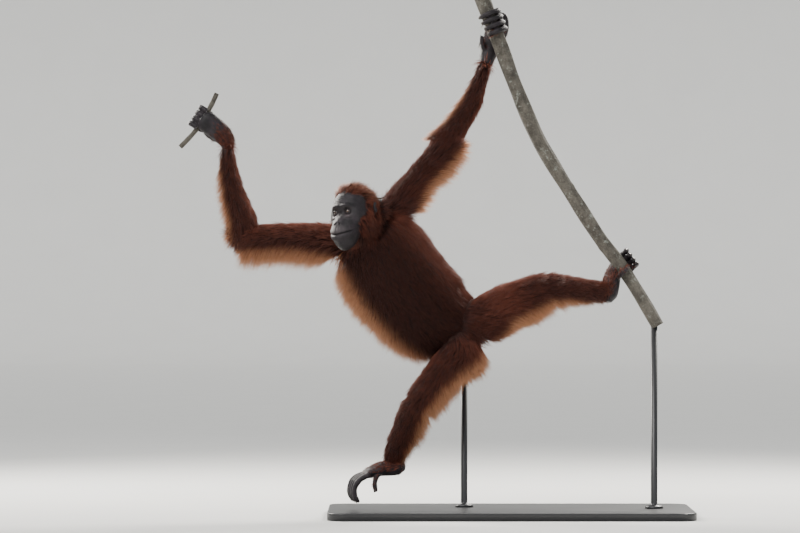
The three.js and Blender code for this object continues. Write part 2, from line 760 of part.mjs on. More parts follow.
// Finger and toe lines
function digitLines() {
  const lines = {};
  const names = ["index", "middle", "ring", "little"];
  const hand = lineAt(VINE_LINE, 1630);
  names.forEach((name, place) => {
    const reach = VINE_RADIUS_TOP + FINGER_RADIUS + 1.6;
    const centre = hand.point.clone().addScaledVector(hand.axis, 32 - place * 21);
    lines[`hand_left_${name}`] = wrapPoints(centre, hand.axis, -72, 158 - place * 5, reach, reach, -4);
  });
  lines.hand_left_thumb = [[-74, 84, 1530], [-86, 74, 1550], [-92, 62, 1574], [-90, 54, 1588]];
  const fist = lineAt(TWIG_LINE, 1303);
  names.forEach((name, place) => {
    const centre = fist.point.clone().addScaledVector(fist.axis, 31 - place * 20.5);
    lines[`hand_right_${name}`] = wrapPoints(centre, fist.axis, 96, 320, 27, 19, 0);
  });
  lines.hand_right_thumb = [[-950, -140, 1242], [-966, -130, 1238], [-988, -120, 1250], [-1002, -114, 1264]];
  const foot = lineAt(VINE_LINE, 832);
  ["second", "third", "fourth", "fifth"].forEach((name, place) => {
    const reach = VINE_RADIUS_LOW + TOE_RADIUS + 2.2;
    const centre = foot.point.clone().addScaledVector(foot.axis, 18 - place * 19);
    lines[`foot_left_${name}_toe`] = wrapPoints(centre, foot.axis, -112, 40 - place * 4, 46, reach, 6);
    const y = -14 - place * 20;
    const drop = place * 1.5;
    lines[`foot_right_${name}_toe`] = [[-474, y, 140], [-506, y, 127 - drop], [-522, y, 100 - drop],
      [-521, y, 72 - drop], [-507, y, 52 - drop]];
  });
  const grip = lineAt(VINE_LINE, 800);
  lines.foot_left_hallux = wrapPoints(grip.point, grip.axis, 186, 52, 33, 34, 14);
  lines.foot_left_hallux.unshift(new THREE.Vector3(330, 2, 776));
  lines.foot_right_hallux = [[-428, -50, 146], [-442, -66, 128], [-446, -74, 106], [-441, -76, 82]];
  Object.keys(lines).forEach((name) => {
    lines[name] = lines[name].map((point) => (Array.isArray(point) ? new THREE.Vector3(...point) : point));
  });
  return lines;
}

// Part of the trunk between two rows, cut square across with half a gap at each cut
function trunk(from, to, grow) {
  const steps = 2;
  const frames = rowFrames(smoothRows(TORSO, steps));
  const used = frames.slice(from * steps, to * steps + 1);
  const rings = used.map((frame, index) => {
    const ring = [];
    const openStart = index === 0 && from > 0 ? GAP / 2 : 0;
    const openEnd = index === used.length - 1 && to < TORSO.length - 1 ? GAP / 2 : 0;
    for (let side = 0; side < 22; side += 1) {
      const point = ringPoint(frame, (side / 22) * Math.PI * 2, COAT_FALL.torso, grow);
      point.addScaledVector(frame.along, openStart - openEnd);
      ring.push(point);
    }
    return ring;
  });
  return orient(skinRings(rings));
}

const model = new THREE.Group();
model.name = "orangutan_display";
const cutters = [];

// Keeps a grown solid to cut later pieces clear of it
function keepCutter(solid) {
  cutters.push({ solid, box: solid.boundingBox() });
}

// Adds a piece, cut clear of the grown solids kept so far
function place(name, solid, paint, cutter) {
  let shape = solid;
  const box = solid.boundingBox();
  cutters.forEach((other) => {
    const clear = [0, 1, 2].some((axis) => {
      return other.box.min[axis] > box.max[axis] || other.box.max[axis] < box.min[axis];
    });
    if (!clear) {
      shape = shape.subtract(other.solid);
    }
  });
  shape = largest(shape);
  const data = shape.getMesh();
  const geometry = new THREE.BufferGeometry();
  geometry.setAttribute("position", new THREE.BufferAttribute(Float32Array.from(data.vertProperties), 3));
  geometry.setIndex(new THREE.BufferAttribute(Uint32Array.from(data.triVerts), 1));
  geometry.computeVertexNormals();
  const mesh = new THREE.Mesh(geometry, paint);
  mesh.name = name;
  model.add(mesh);
  if (cutter) {
    keepCutter(cutter);
  }
}

// Limb core with its hanging locks
function coated(name, table, sides, steps, fall, grow) {
  const core = limb(table, sides, steps, fall, grow);
  const rows = LOCK_ROWS[name] ?? [];
  return fuse(core, rows.flatMap((spec) => hangingLocks(table, fall, spec, grow)));
}

// Adds a limb and keeps its grown form as a cutter
function placeLimb(name, table, sides, steps, fall, paint) {
  const shape = coated(name, table, sides, steps, fall, 0);
  place(name, shape, paint, coated(name, table, sides, steps, fall, GAP));
}

// Adds a part of the trunk with its locks, clear of the other parts
function placeTrunk(name, from, to) {
  const rows = LOCK_ROWS[name];
  const locks = rows.flatMap((spec) => hangingLocks(TORSO, COAT_FALL.torso, spec, 0));
  const grown = rows.flatMap((spec) => hangingLocks(TORSO, COAT_FALL.torso, spec, GAP));
  const others = trunkParts.filter((part) => part.name !== name);
  let shape = fuse(trunk(from, to, 0), locks);
  others.forEach((part) => {
    shape = shape.subtract(part.grown);
  });
  place(name, shape, coatPaint, null);
  grown.forEach(keepCutter);
  trunkLocks.push(...grown);
}

// Each piece is cut clear of the pieces before it
place("perch_vine", stem(VINE_LINE, VINE_RADIUS_TOP, VINE_RADIUS_LOW, 10, 27, 0), barkPaint,
  stem(VINE_LINE, VINE_RADIUS_TOP, VINE_RADIUS_LOW, 10, 27, GAP));
place("perch_twig", stem(TWIG_LINE, TWIG_RADIUS, TWIG_RADIUS, 8, 9, 0), barkPaint,
  stem(TWIG_LINE, TWIG_RADIUS, TWIG_RADIUS, 8, 9, GAP));
const trunkParts = [["pelvis", 0, 3], ["abdomen", 3, 5], ["chest", 5, 9]].map(([name, from, to]) => {
  return { name, grown: trunk(from, to, GAP / 2) };
});
const trunkLocks = [];
placeTrunk("pelvis", 0, 3);
placeTrunk("abdomen", 3, 5);
placeTrunk("chest", 5, 9);
keepCutter(fuse(trunk(0, 9, GAP), trunkLocks));
[["eye_right", -1], ["eye_left", 1]].forEach(([name, side]) => {
  place(name, headBlob(eyeSpot(side), EYE_RADIUS, EYE_RADIUS, EYE_RADIUS, 12, 8), eyePaint, null);
});
place("head", buildHead(0), skinPaint, buildHead(GAP));
place("ear_right", buildEar(-1), skinPaint, null);
place("ear_left", buildEar(1), skinPaint, null);
placeLimb("neck", NECK, 14, 1, COAT_FALL.neck, coatPaint);
placeLimb("upper_arm_left", UPPER_ARM_LEFT, 14, 1, COAT_FALL.upperArmLeft, coatPaint);
placeLimb("forearm_left", FOREARM_LEFT, 14, 1, COAT_FALL.forearmLeft, coatPaint);
placeLimb("hand_left", PALM_LEFT, 12, 1, null, skinPaint);
placeLimb("upper_arm_right", UPPER_ARM_RIGHT, 14, 1, DOWN, coatPaint);
placeLimb("forearm_right", FOREARM_RIGHT, 14, 1, COAT_FALL.forearmRight, coatPaint);
placeLimb("hand_right", PALM_RIGHT, 12, 1, null, skinPaint);
placeLimb("thigh_left", THIGH_LEFT, 14, 1, DOWN, coatPaint);
placeLimb("lower_leg_left", SHANK_LEFT, 14, 1, DOWN, coatPaint);
placeLimb("foot_left", SOLE_LEFT, 12, 1, null, skinPaint);
placeLimb("thigh_right", THIGH_RIGHT, 14, 1, COAT_FALL.legRight, coatPaint);
placeLimb("lower_leg_right", SHANK_RIGHT, 14, 1, COAT_FALL.legRight, coatPaint);
placeLimb("foot_right", SOLE_RIGHT, 12, 1, null, skinPaint);

const lines = digitLines();
Object.keys(lines).forEach((name) => {
  const thumb = name.endsWith("thumb");
  const radius = name.includes("foot") ? TOE_RADIUS : FINGER_RADIUS;
  const size = thumb ? radius * 0.86 : radius;
  place(name, tube(lines[name], size, 7, 8), skinPaint, tube(lines[name], size, 7, 8, GAP));
});

place("stand_rod_body", buildRod(-150, 88, 660), standPaint, null);
place("stand_rod_perch", buildRod(476, 2, 652), standPaint, null);
place("stand_base", buildBase(), standPaint, null);

export default model;
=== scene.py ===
"""Looks of a life-size orangutan display model: skin, coat, eyes, nails, vine, stand and studio.

Every shape is a numpy formula in millimetres in the row frame and is written to a mesh in metres.
The camera looks along +Y. +X is the photo's right, and the animal's chest faces -Y.
"""
from __future__ import annotations

import logging
import math
from dataclasses import dataclass, fields
from enum import Enum
from typing import Optional, Union

import bpy
import numpy as np
from mathutils import Euler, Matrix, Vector
from mathutils.kdtree import KDTree


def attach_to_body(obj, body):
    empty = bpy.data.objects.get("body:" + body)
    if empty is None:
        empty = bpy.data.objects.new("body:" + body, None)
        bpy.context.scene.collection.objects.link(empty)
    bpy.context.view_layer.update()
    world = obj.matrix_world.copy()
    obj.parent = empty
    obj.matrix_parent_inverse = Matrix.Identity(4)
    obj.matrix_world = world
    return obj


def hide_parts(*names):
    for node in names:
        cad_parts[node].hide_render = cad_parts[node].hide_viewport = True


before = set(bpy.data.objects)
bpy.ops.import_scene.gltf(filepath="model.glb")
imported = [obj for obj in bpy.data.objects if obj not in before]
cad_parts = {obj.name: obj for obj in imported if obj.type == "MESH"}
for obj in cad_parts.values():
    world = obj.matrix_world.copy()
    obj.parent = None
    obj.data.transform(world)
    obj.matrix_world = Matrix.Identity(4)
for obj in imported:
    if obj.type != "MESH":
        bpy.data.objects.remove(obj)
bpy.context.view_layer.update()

log = logging.getLogger("orangutan")
Array = np.ndarray
Rows = list[tuple[float, ...]]
Value = Union["Socket", float, tuple[float, ...]]
TAU = 2 * math.pi
VIEW = np.array([0.0, 1.0, 0.0])

# Driving sizes in millimetres and shares
GAP = 0.3
COAT_SHARE = 0.17
STATION_REACH = 34
ROW_STEPS = 6
DIGIT_STEPS = 40
TUFT_RINGS = ((0.0, 0.8), (0.5, 0.85))
TUFT_CORNERS = ((1.0, -0.2), (-1.0, -0.2), (0.0, 0.55))
TUFT_PATCH = 0.003
CHEST_TONE_AND_SHADE_SIDE = (-0.35, -0.85, -0.35)
PALE_HIP = (-45.0, -80.0, 700.0)
TRUNK_LIMBS = 2
OBJECT_OUTPUT = 3
OTHER_NODES = ("perch_", "stand_", "eye_")
RODS = {"rod_body": (-150, 88, 640), "rod_perch": (476, 2, 640)}

# Rows of centre x y z, half width across the view, half depth, and hanging coat, in millimetres
TORSO = [
    (-118, 42, 572, 26, 26, 0), (-150, 36, 602, 78, 70, 8), (-203, 28, 640, 118, 92, 20),
    (-267, 20, 684, 146, 108, 34), (-330, 14, 749, 151, 116, 42), (-381, 12, 814, 152, 116, 46),
    (-419, 14, 878, 144, 112, 48), (-446, 16, 928, 124, 98, 40), (-468, 14, 962, 82, 72, 16),
    (-478, 12, 982, 36, 36, 0)]
NECK = [(-462, 18, 930, 66, 62, 14), (-466, -6, 958, 68, 62, 20), (-474, -34, 984, 66, 62, 18),
        (-484, -58, 1000, 60, 58, 10)]
UPPER_ARM_LEFT = [(-404, 16, 950, 46, 48, 0), (-366, 40, 1030, 52, 50, 44), (-314, 66, 1109, 39, 42, 62),
                  (-256, 90, 1175, 41, 44, 54), (-208, 104, 1238, 47, 46, 36), (-188, 106, 1266, 30, 34, 8)]
FOREARM_LEFT = [(-222, 102, 1222, 38, 38, 4), (-198, 105, 1252, 46, 44, 16), (-160, 104, 1307, 36, 38, 18),
                (-121, 96, 1373, 31, 34, 18), (-97, 88, 1439, 23, 26, 12), (-78, 82, 1500, 21, 20, 2)]
PALM_LEFT = [(-79, 82, 1496, 20, 19, 0), (-72, 87, 1524, 26, 20, 0), (-60, 93, 1556, 34, 20, 0),
             (-48, 95, 1590, 38, 19, 0), (-38, 94, 1622, 38, 18, 0), (-34, 90, 1654, 30, 14, 0),
             (-34, 88, 1668, 16, 8, 0)]
UPPER_ARM_RIGHT = [(-530, -4, 902, 44, 46, 20), (-605, -30, 915, 49, 50, 70), (-693, -55, 924, 43, 46, 80),
                   (-759, -75, 926, 40, 44, 82), (-818, -93, 923, 39, 43, 76), (-858, -104, 922, 38, 41, 44),
                   (-892, -110, 926, 20, 24, 8)]
FOREARM_RIGHT = [(-866, -104, 905, 26, 28, 6), (-872, -107, 936, 43, 42, 26), (-877, -112, 987, 43, 42, 32),
                 (-893, -118, 1036, 37, 38, 33), (-911, -124, 1102, 29, 32, 32),
                 (-922, -128, 1172, 22, 25, 22), (-927, -130, 1222, 20, 20, 3)]
PALM_RIGHT = [(-926, -130, 1216, 20, 19, 0), (-934, -136, 1238, 28, 20, 0), (-951, -144, 1260, 33, 20, 0),
              (-973, -152, 1280, 35, 19, 0), (-996, -157, 1297, 35, 17, 0), (-1014, -157, 1310, 28, 13, 0)]
THIGH_LEFT = [(-196, 14, 634, 62, 62, 0), (-89, 0, 655, 76, 74, 12), (-20, -22, 696, 67, 70, 46),
              (50, -42, 728, 59, 61, 46), (99, -53, 750, 50, 54, 50), (142, -54, 758, 26, 30, 14)]
SHANK_LEFT = [(84, -52, 746, 40, 42, 20), (122, -53, 754, 48, 49, 42), (160, -48, 757, 44, 45, 34),
              (198, -40, 755, 40, 41, 24), (244, -28, 749, 37, 38, 14), (292, -16, 744, 33, 34, 6),
              (312, -12, 742, 24, 26, 0)]
SOLE_LEFT = [(324, -10, 706, 12, 16, 0), (326, -6, 726, 27, 31, 0), (332, 6, 756, 30, 34, 0),
             (340, 24, 788, 27, 36, 0), (350, 40, 818, 22, 36, 0), (358, 49, 842, 14, 28, 0)]
THIGH_RIGHT = [(-176, 16, 616, 56, 58, 0), (-168, -4, 556, 74, 70, 40), (-201, -28, 510, 57, 62, 44),
               (-247, -50, 456, 49, 54, 54), (-294, -66, 399, 43, 49, 50), (-322, -68, 362, 24, 28, 12)]
SHANK_RIGHT = [(-296, -62, 402, 32, 36, 10), (-312, -63, 372, 42, 45, 46), (-331, -56, 336, 42, 44, 48),
               (-348, -47, 296, 40, 41, 36), (-368, -36, 251, 35, 36, 24), (-386, -25, 202, 29, 29, 16),
               (-390, -21, 174, 22, 24, 4)]
SOLE_RIGHT = [(-346, -12, 160, 10, 14, 0), (-364, -14, 162, 25, 27, 0), (-395, -22, 160, 27, 32, 0),
              (-430, -31, 155, 23, 36, 0), (-462, -38, 145, 19, 38, 0), (-488, -42, 134, 13, 34, 0)]
VINE_LINE = [(-108, 56, 1756), (-88, 55, 1706), (-60, 52, 1630), (-31, 50, 1557), (18, 45, 1424),
             (85, 38, 1265), (133, 33, 1176), (210, 25, 1053), (295, 16, 921), (367, 10, 825),
             (423, 6, 739), (488, 2, 627)]
TWIG_LINE = [(-1082, -133, 1214), (-1040, -131, 1258), (-1008, -130, 1303), (-980, -130, 1352),
             (-962, -131, 1390)]
FINGER_NAMES = ("index", "middle", "ring", "little")
TOE_NAMES = ("second", "third", "fourth", "fifth")

# Line, first and last radius, corners, rings and seed
STEMS = {"vine": (VINE_LINE, 25, 21.5, 56, 420, 3), "twig": (TWIG_LINE, 8, 8, 24, 90, 4)}

# Rows, the way the hairy back faces, and whether its hair lies with the rows
BACKS = {
    "hand_left": (PALM_LEFT, (0.5, 1, 0.1), -1),
    "hand_right": (PALM_RIGHT, (0.3, -0.8, 0.5), -1),
    "foot_left": (SOLE_LEFT, (-1, -0.5, 0.2), 1),
    "foot_right": (SOLE_RIGHT, (-0.1, -0.4, 1), 1),
}


class Flow(Enum):
    """Way the coat lies along a limb's rows."""

    FORWARD = 1
    BACKWARD = -1


@dataclass(frozen=True)
class Limb:
    """One furred stretch of the body and how its coat lies.

    Args:
        name: Limb name.
        table: Its rows.
        fall: Direction in which its long hair hangs.
        flow: Whether the coat lies with the rows or against them.
        length: Length of the short coat in millimetres.
        group: Coat piece that its tufts belong to.
    """

    name: str
    table: Rows
    fall: tuple[float, float, float]
    flow: Flow
    length: float
    group: str


DOWN = (0.0, 0.0, -1.0)
LIMBS = [
    Limb("torso", TORSO, (-0.6, 0, -0.8), Flow.BACKWARD, 52, "torso"),
    Limb("neck", NECK, (0.2, -0.3, -0.93), Flow.BACKWARD, 58, "head"),
    Limb("upper_arm_left", UPPER_ARM_LEFT, (0.8, 0, -0.6), Flow.FORWARD, 48, "arm_left"),
    Limb("forearm_left", FOREARM_LEFT, (-0.95, 0, 0.3), Flow.BACKWARD, 38, "arm_left"),
    Limb("upper_arm_right", UPPER_ARM_RIGHT, DOWN, Flow.FORWARD, 48, "arm_right"),
    Limb("forearm_right", FOREARM_RIGHT, (-0.97, 0, -0.25), Flow.BACKWARD, 38, "arm_right"),
    Limb("thigh_left", THIGH_LEFT, DOWN, Flow.FORWARD, 46, "leg_left"),
    Limb("shank_left", SHANK_LEFT, DOWN, Flow.FORWARD, 36, "leg_left"),
    Limb("thigh_right", THIGH_RIGHT, (0.94, 0, -0.34), Flow.FORWARD, 46, "leg_right"),
    Limb("shank_right", SHANK_RIGHT, (0.94, 0, -0.34), Flow.FORWARD, 36, "leg_right"),
]


def unit(vectors: Array) -> Array:
    """Vectors scaled to length 1."""
    size = np.linalg.norm(vectors, axis=-1, keepdims=True)
    return vectors / np.maximum(size, 1e-9)


def gauss(value: Array, centre: float, spread: float) -> Array:
    """Bell curve of height 1: exp of minus the squared offset over the spread."""
    return np.exp(-(((value - centre) / spread) ** 2))


def smoothstep(value: Array, low: float, high: float) -> Array:
    """0 below low, 1 above high, with an S curve between; low may be above high."""
    part = np.clip((value - low) / (high - low), 0, 1)
    return part * part * (3 - 2 * part)


def smooth_rows(table: Rows, steps: int) -> Array:
    """Rows between the given ones on a Catmull-Rom spline through each column.

    Args:
        table: The given rows.
        steps: New rows for each span.

    Returns:
        One row for each station.
    """
    rows = np.array(table, float)
    last = len(rows) - 1
    place = np.arange(last * steps + 1) / steps
    span = np.minimum(place.astype(int), last - 1)
    part = (place - span)[:, None]
    before, start = rows[np.maximum(span - 1, 0)], rows[span]
    end, after = rows[span + 1], rows[np.minimum(span + 2, last)]
    pull, push = (end - before) / 2, (after - start) / 2
    square, cube = part**2, part**3
    value = (2 * cube - 3 * square + 1) * start + (3 * square - 2 * cube) * end
    return value + (cube - 2 * square + part) * pull + (cube - square) * push


def row_frames(centres: Array) -> tuple[Array, Array, Array]:
    """Directions at each centre of a limb.

    Along is the difference of the two neighbours, across lies square to it in the picture plane,
    and depth is square to both.

    Args:
        centres: Points along the limb.

    Returns:
        Unit vectors along, across and in depth.
    """
    padded = np.vstack([centres[:1], centres, centres[-1:]])
    along = unit(padded[2:] - padded[:-2])
    across = unit(np.cross(VIEW, along))
    return along, across, unit(np.cross(along, across))


def ring_grid(rows: Array, sides: int, grow: float) -> Array:
    """Points of every ring: centre plus cosine across and sine in depth, each times its half axis.

    Args:
        rows: Smoothed rows.
        sides: Points of a ring.
        grow: Millimetres added to a half axis, or taken off it up to COAT_SHARE of it.

    Returns:
        Points by ring and side.
    """
    _, across, depth = row_frames(rows[:, :3])
    angle = np.arange(sides) / sides * TAU
    half = rows[:, 3:5] + np.maximum(grow, -COAT_SHARE * rows[:, 3:5])
    wide, deep = half[:, :1, None], half[:, 1:, None]
    cosine, sine = np.cos(angle)[None, :, None], np.sin(angle)[None, :, None]
    return rows[:, None, :3] + across[:, None] * wide * cosine + depth[:, None] * deep * sine


@dataclass
class Patch:
    """Vertices, faces and per-vertex values of a mesh.

    Args:
        points: Vertices in millimetres.
        faces: Vertex numbers of the quads and of the triangles, one array for each.
        values: Per-vertex red, green, blue values.
    """

    points: Array
    faces: list[Array]
    values: Optional[Array] = None


def grid_patch(grid: Array) -> Patch:
    """Closed mesh from rings of points, with a fan of triangles at each end.

    Args:
        grid: Points by ring and side.

    Returns:
        The closed mesh; its last two vertices are the middles of the ends.
    """
    levels, sides = grid.shape[:2]
    index = np.arange(levels * sides).reshape(levels, sides)
    turned = np.roll(index, -1, axis=1)
    quads = np.stack([index[:-1], turned[:-1], turned[1:], index[1:]], -1).reshape(-1, 4)
    points = np.vstack([grid.reshape(-1, 3), grid[0].mean(0)[None], grid[-1].mean(0)[None]])
    low, high = levels * sides, levels * sides + 1
    first = np.stack([turned[0], index[0], np.full(sides, low)], -1)
    final = np.stack([index[-1], turned[-1], np.full(sides, high)], -1)
    return Patch(points, [quads, np.vstack([first, final])])


def join(patches: list[Patch]) -> Patch:
    """One patch holding all of the given ones, with values of 0 where one has none.

    Args:
        patches: The patches, in order.

    Returns:
        The joined patch.
    """
    offset, points, quads, triangles, values = 0, [], [], [], []
    for patch in patches:
        points.append(patch.points)
        values.append(patch.values if patch.values is not None else np.zeros((len(patch.points), 3)))
        for face in patch.faces:
            (quads if face.shape[1] == 4 else triangles).append(face + offset)
        offset += len(patch.points)
    faces = [np.vstack(group) for group in (quads, triangles) if group]
    return Patch(np.vstack(points), faces, np.vstack(values))


def bare(patch: Patch) -> Patch:
    """The patch with its first value 1, which marks bare skin.

    Args:
        patch: Any patch.

    Returns:
        The same patch.
    """
    patch.values = np.zeros((len(patch.points), 3))
    patch.values[:, 0] = 1
    return patch


def make_object(name: str, patch: Patch, smooth: bool = True) -> bpy.types.Object:
    """Object at the origin from a patch in millimetres.

    Args:
        name: Object name.
        patch: Its shape.
        smooth: Whether faces are shaded smooth.

    Returns:
        The linked object.
    """
    mesh = bpy.data.meshes.new(name)
    mesh.vertices.add(len(patch.points))
    mesh.vertices.foreach_set("co", (patch.points / 1000).astype(np.float32).ravel())
    loops = np.concatenate([face.ravel() for face in patch.faces]).astype(np.int32)
    sizes = np.concatenate([np.full(len(face), face.shape[1]) for face in patch.faces])
    starts = np.concatenate([[0], np.cumsum(sizes)[:-1]]).astype(np.int32)
    mesh.loops.add(len(loops))
    mesh.loops.foreach_set("vertex_index", loops)
    mesh.polygons.add(len(sizes))
    mesh.polygons.foreach_set("loop_start", starts)
    mesh.update(calc_edges=True)
    mesh.validate()
    if patch.values is not None:
        layer = mesh.attributes.new("tint", "FLOAT_COLOR", "POINT")
        colour = np.hstack([patch.values, np.ones((len(patch.values), 1))])
        layer.data.foreach_set("color", colour.astype(np.float32).ravel())
    if smooth:
        mesh.polygons.foreach_set("use_smooth", np.ones(len(mesh.polygons), bool))
    obj = bpy.data.objects.new(name, mesh)
    bpy.context.scene.collection.objects.link(obj)
    return obj


def fused(patches: list[Patch], voxel: float, rounds: int) -> Patch:
    """Single smooth surface round overlapping closed patches.

    Args:
        patches: Overlapping closed shapes.
        voxel: Remesh cell in millimetres.
        rounds: Smoothing rounds.

    Returns:
        The fused surface.
    """
    obj = make_object("fuse_work", join(patches), smooth=False)
    remesh = obj.modifiers.new("remesh", "REMESH")
    remesh.mode = "VOXEL"
    remesh.voxel_size = voxel / 1000
    relax = obj.modifiers.new("relax", "SMOOTH")
    relax.factor = 0.5
    relax.iterations = rounds
    depsgraph = bpy.context.evaluated_depsgraph_get()
    mesh = obj.evaluated_get(depsgraph).to_mesh()
    points = np.empty(len(mesh.vertices) * 3, np.float32)
    mesh.vertices.foreach_get("co", points)
    corners = np.empty(len(mesh.loops), np.int32)
    mesh.loops.foreach_get("vertex_index", corners)
    sizes = np.empty(len(mesh.polygons), np.int32)
    mesh.polygons.foreach_get("loop_total", sizes)
    starts = np.concatenate([[0], np.cumsum(sizes)[:-1]])
    faces = []
    for size in (4, 3):
        chosen = starts[sizes == size]
        if len(chosen):
            faces.append(corners[chosen[:, None] + np.arange(size)])
    bpy.data.objects.remove(obj)
    return Patch(points.reshape(-1, 3).astype(float) * 1000, faces)


def curve_points(line: Array, count: int) -> Array:
    """Evenly spaced points on a Catmull-Rom curve, found by running length.

    Args:
        line: Points that the curve passes through.
        count: How many points are wanted.

    Returns:
        The points.
    """
    dense = smooth_rows([tuple(point) for point in line], 24)
    steps = np.linalg.norm(np.diff(dense, axis=0), axis=1)
    length = np.concatenate([[0], np.cumsum(steps)])
    wanted = np.linspace(0, length[-1], count)
    return np.stack([np.interp(wanted, length, dense[:, axis]) for axis in range(3)], -1)


class Nodes:
    """Shader nodes of one material, made by short calls.

    Args:
        name: Material name.
    """

    def __init__(self, name: str) -> None:
        """Starts a material with its shader.

        Args:
            name: Material name.
        """
        self.material = bpy.data.materials.new(name)
        self.material.use_nodes = True
        self.tree = self.material.node_tree
        self.shader = self.tree.nodes["Principled BSDF"]

    def make(self, kind: str, output: int = 0, settings: Optional[dict] = None, **inputs: Value) -> Socket:
        """Makes any node.

        Args:
            kind: Node type.
            output: Place of the output that is wanted.
            settings: Properties of the node, set first.
            **inputs: Values or links of its sockets, by name or as i and the socket's place.

        Returns:
            The chosen output.
        """
        node = self.tree.nodes.new(kind)
        for key, value in (settings or {}).items():
            setattr(node, key, value)
        for key, value in inputs.items():
            place = int(key[1:]) if key[0] == "i" and key[1:].isdigit() else key.replace("_", " ")
            self.feed(node.inputs[place], value)
        return Socket(self, node.outputs[output])

    def feed(self, socket: bpy.types.NodeSocket, value: Value) -> None:
        """Sets a socket to a number or colour, or links another socket to it.

        Args:
            socket: Input to fill.
            value: Number, colour or wrapped output.
        """
        if isinstance(value, Socket):
            self.tree.links.new(value.socket, socket)
        else:
            socket.default_value = value

    def noise(self, scale: float, detail: float = 4, rough: float = 0.55) -> Socket:
        """Noise from 0 to 1 on Object coordinates in metres."""
        where = self.make("ShaderNodeTexCoord", OBJECT_OUTPUT)
        return self.make("ShaderNodeTexNoise", Vector=where, Scale=scale, Detail=detail, Roughness=rough)

    def mix(self, factor: Value, low: Value, high: Value) -> Socket:
        """Colour between low and high."""
        return self.make("ShaderNodeMix", 2, {"data_type": "RGBA"}, i0=factor, i6=low, i7=high)

    def range(self, value: Socket, low: float, high: float) -> Socket:
        """0 at low and 1 at high, smooth and clamped."""
        settings = {"interpolation_type": "SMOOTHSTEP"}
        return self.make("ShaderNodeMapRange", 0, settings, Value=value, From_Min=low, From_Max=high)

    def tint(self) -> tuple[Socket, Socket, Socket]:
        """The three per-vertex values of the mesh.

        Returns:
            One output for each value.
        """
        colour = self.make("ShaderNodeAttribute", 0, {"attribute_name": "tint"})
        split = self.tree.nodes.new("ShaderNodeSeparateColor")
        self.feed(split.inputs[0], colour)
        return tuple(Socket(self, split.outputs[place]) for place in range(3))

    def bump(self, height: Socket, distance: float, strength: float = 1.0) -> None:
        """Sends a height in metres times distance to the shader's normal."""
        normal = self.make("ShaderNodeBump", Height=height, Distance=distance, Strength=strength)
        self.feed(self.shader.inputs["Normal"], normal)

    def finish(self, **values: Value) -> bpy.types.Material:
        """Sets or links the shader's sockets.

        Args:
            **values: Values or links by socket name.

        Returns:
            The material.
        """
        for key, value in values.items():
            self.feed(self.shader.inputs[key.replace("_", " ")], value)
        return self.material


class Socket:
    """A node output that takes arithmetic operators.

    Args:
        nodes: The nodes it belongs to.
        socket: The output.
    """

    def __init__(self, nodes: Nodes, socket: bpy.types.NodeSocket) -> None:
        """Wraps an output."""
        self.nodes, self.socket = nodes, socket

    def _math(self, operation: str, first: Value, second: Value) -> Socket:
        """A Math node on two values."""
        return self.nodes.make("ShaderNodeMath", 0, {"operation": operation}, i0=first, i1=second)

    def __add__(self, other: Value) -> Socket:
        """This plus other."""
        return self._math("ADD", self, other)

    def __radd__(self, other: Value) -> Socket:
        """Other plus this."""
        return self._math("ADD", other, self)

    def __sub__(self, other: Value) -> Socket:
        """This less other."""
        return self._math("SUBTRACT", self, other)

    def __rsub__(self, other: Value) -> Socket:
        """Other less this."""
        return self._math("SUBTRACT", other, self)

    def __mul__(self, other: Value) -> Socket:
        """This times other."""
        return self._math("MULTIPLY", self, other)

    def __rmul__(self, other: Value) -> Socket:
        """Other times this."""
        return self._math("MULTIPLY", other, self)

    def __truediv__(self, other: Value) -> Socket:
        """This over other."""
        return self._math("DIVIDE", self, other)

    def __rtruediv__(self, other: Value) -> Socket:
        """Other over this."""
        return self._math("DIVIDE", other, self)


@dataclass(frozen=True)
class Finish:
    """Colours and roughness of one surface kind.

    Args:
        dark: Its darkest colour.
        light: Its lightest colour.
        rough: Its roughness.
    """

    dark: tuple[float, float, float, float]
    light: tuple[float, float, float, float]
    rough: float


COAT = Finish((0.009, 0.0027, 0.0026, 1), (0.215, 0.062, 0.037, 1), 0.55)
# Gold of the thin fringes: partly the hair's own paler tips, partly painted light from behind.
COAT_GOLD_AND_RIM_LIGHT = Finish((0.20, 0.060, 0.028, 1), (0.76, 0.38, 0.20, 1), 0.6)
FACE = Finish((0.005, 0.0036, 0.0045, 1), (0.024, 0.0175, 0.0215, 1), 0.55)
PALE = Finish((0.05, 0.038, 0.041, 1), (0.095, 0.074, 0.079, 1), 0.5)
BARK = Finish((0.035, 0.030, 0.023, 1), (0.125, 0.112, 0.09, 1), 0.88)
LICHEN = Finish((0.16, 0.17, 0.14, 1), (0.30, 0.31, 0.27, 1), 0.9)
STAND = Finish((0.012, 0.012, 0.013, 1), (0.022, 0.022, 0.024, 1), 0.38)


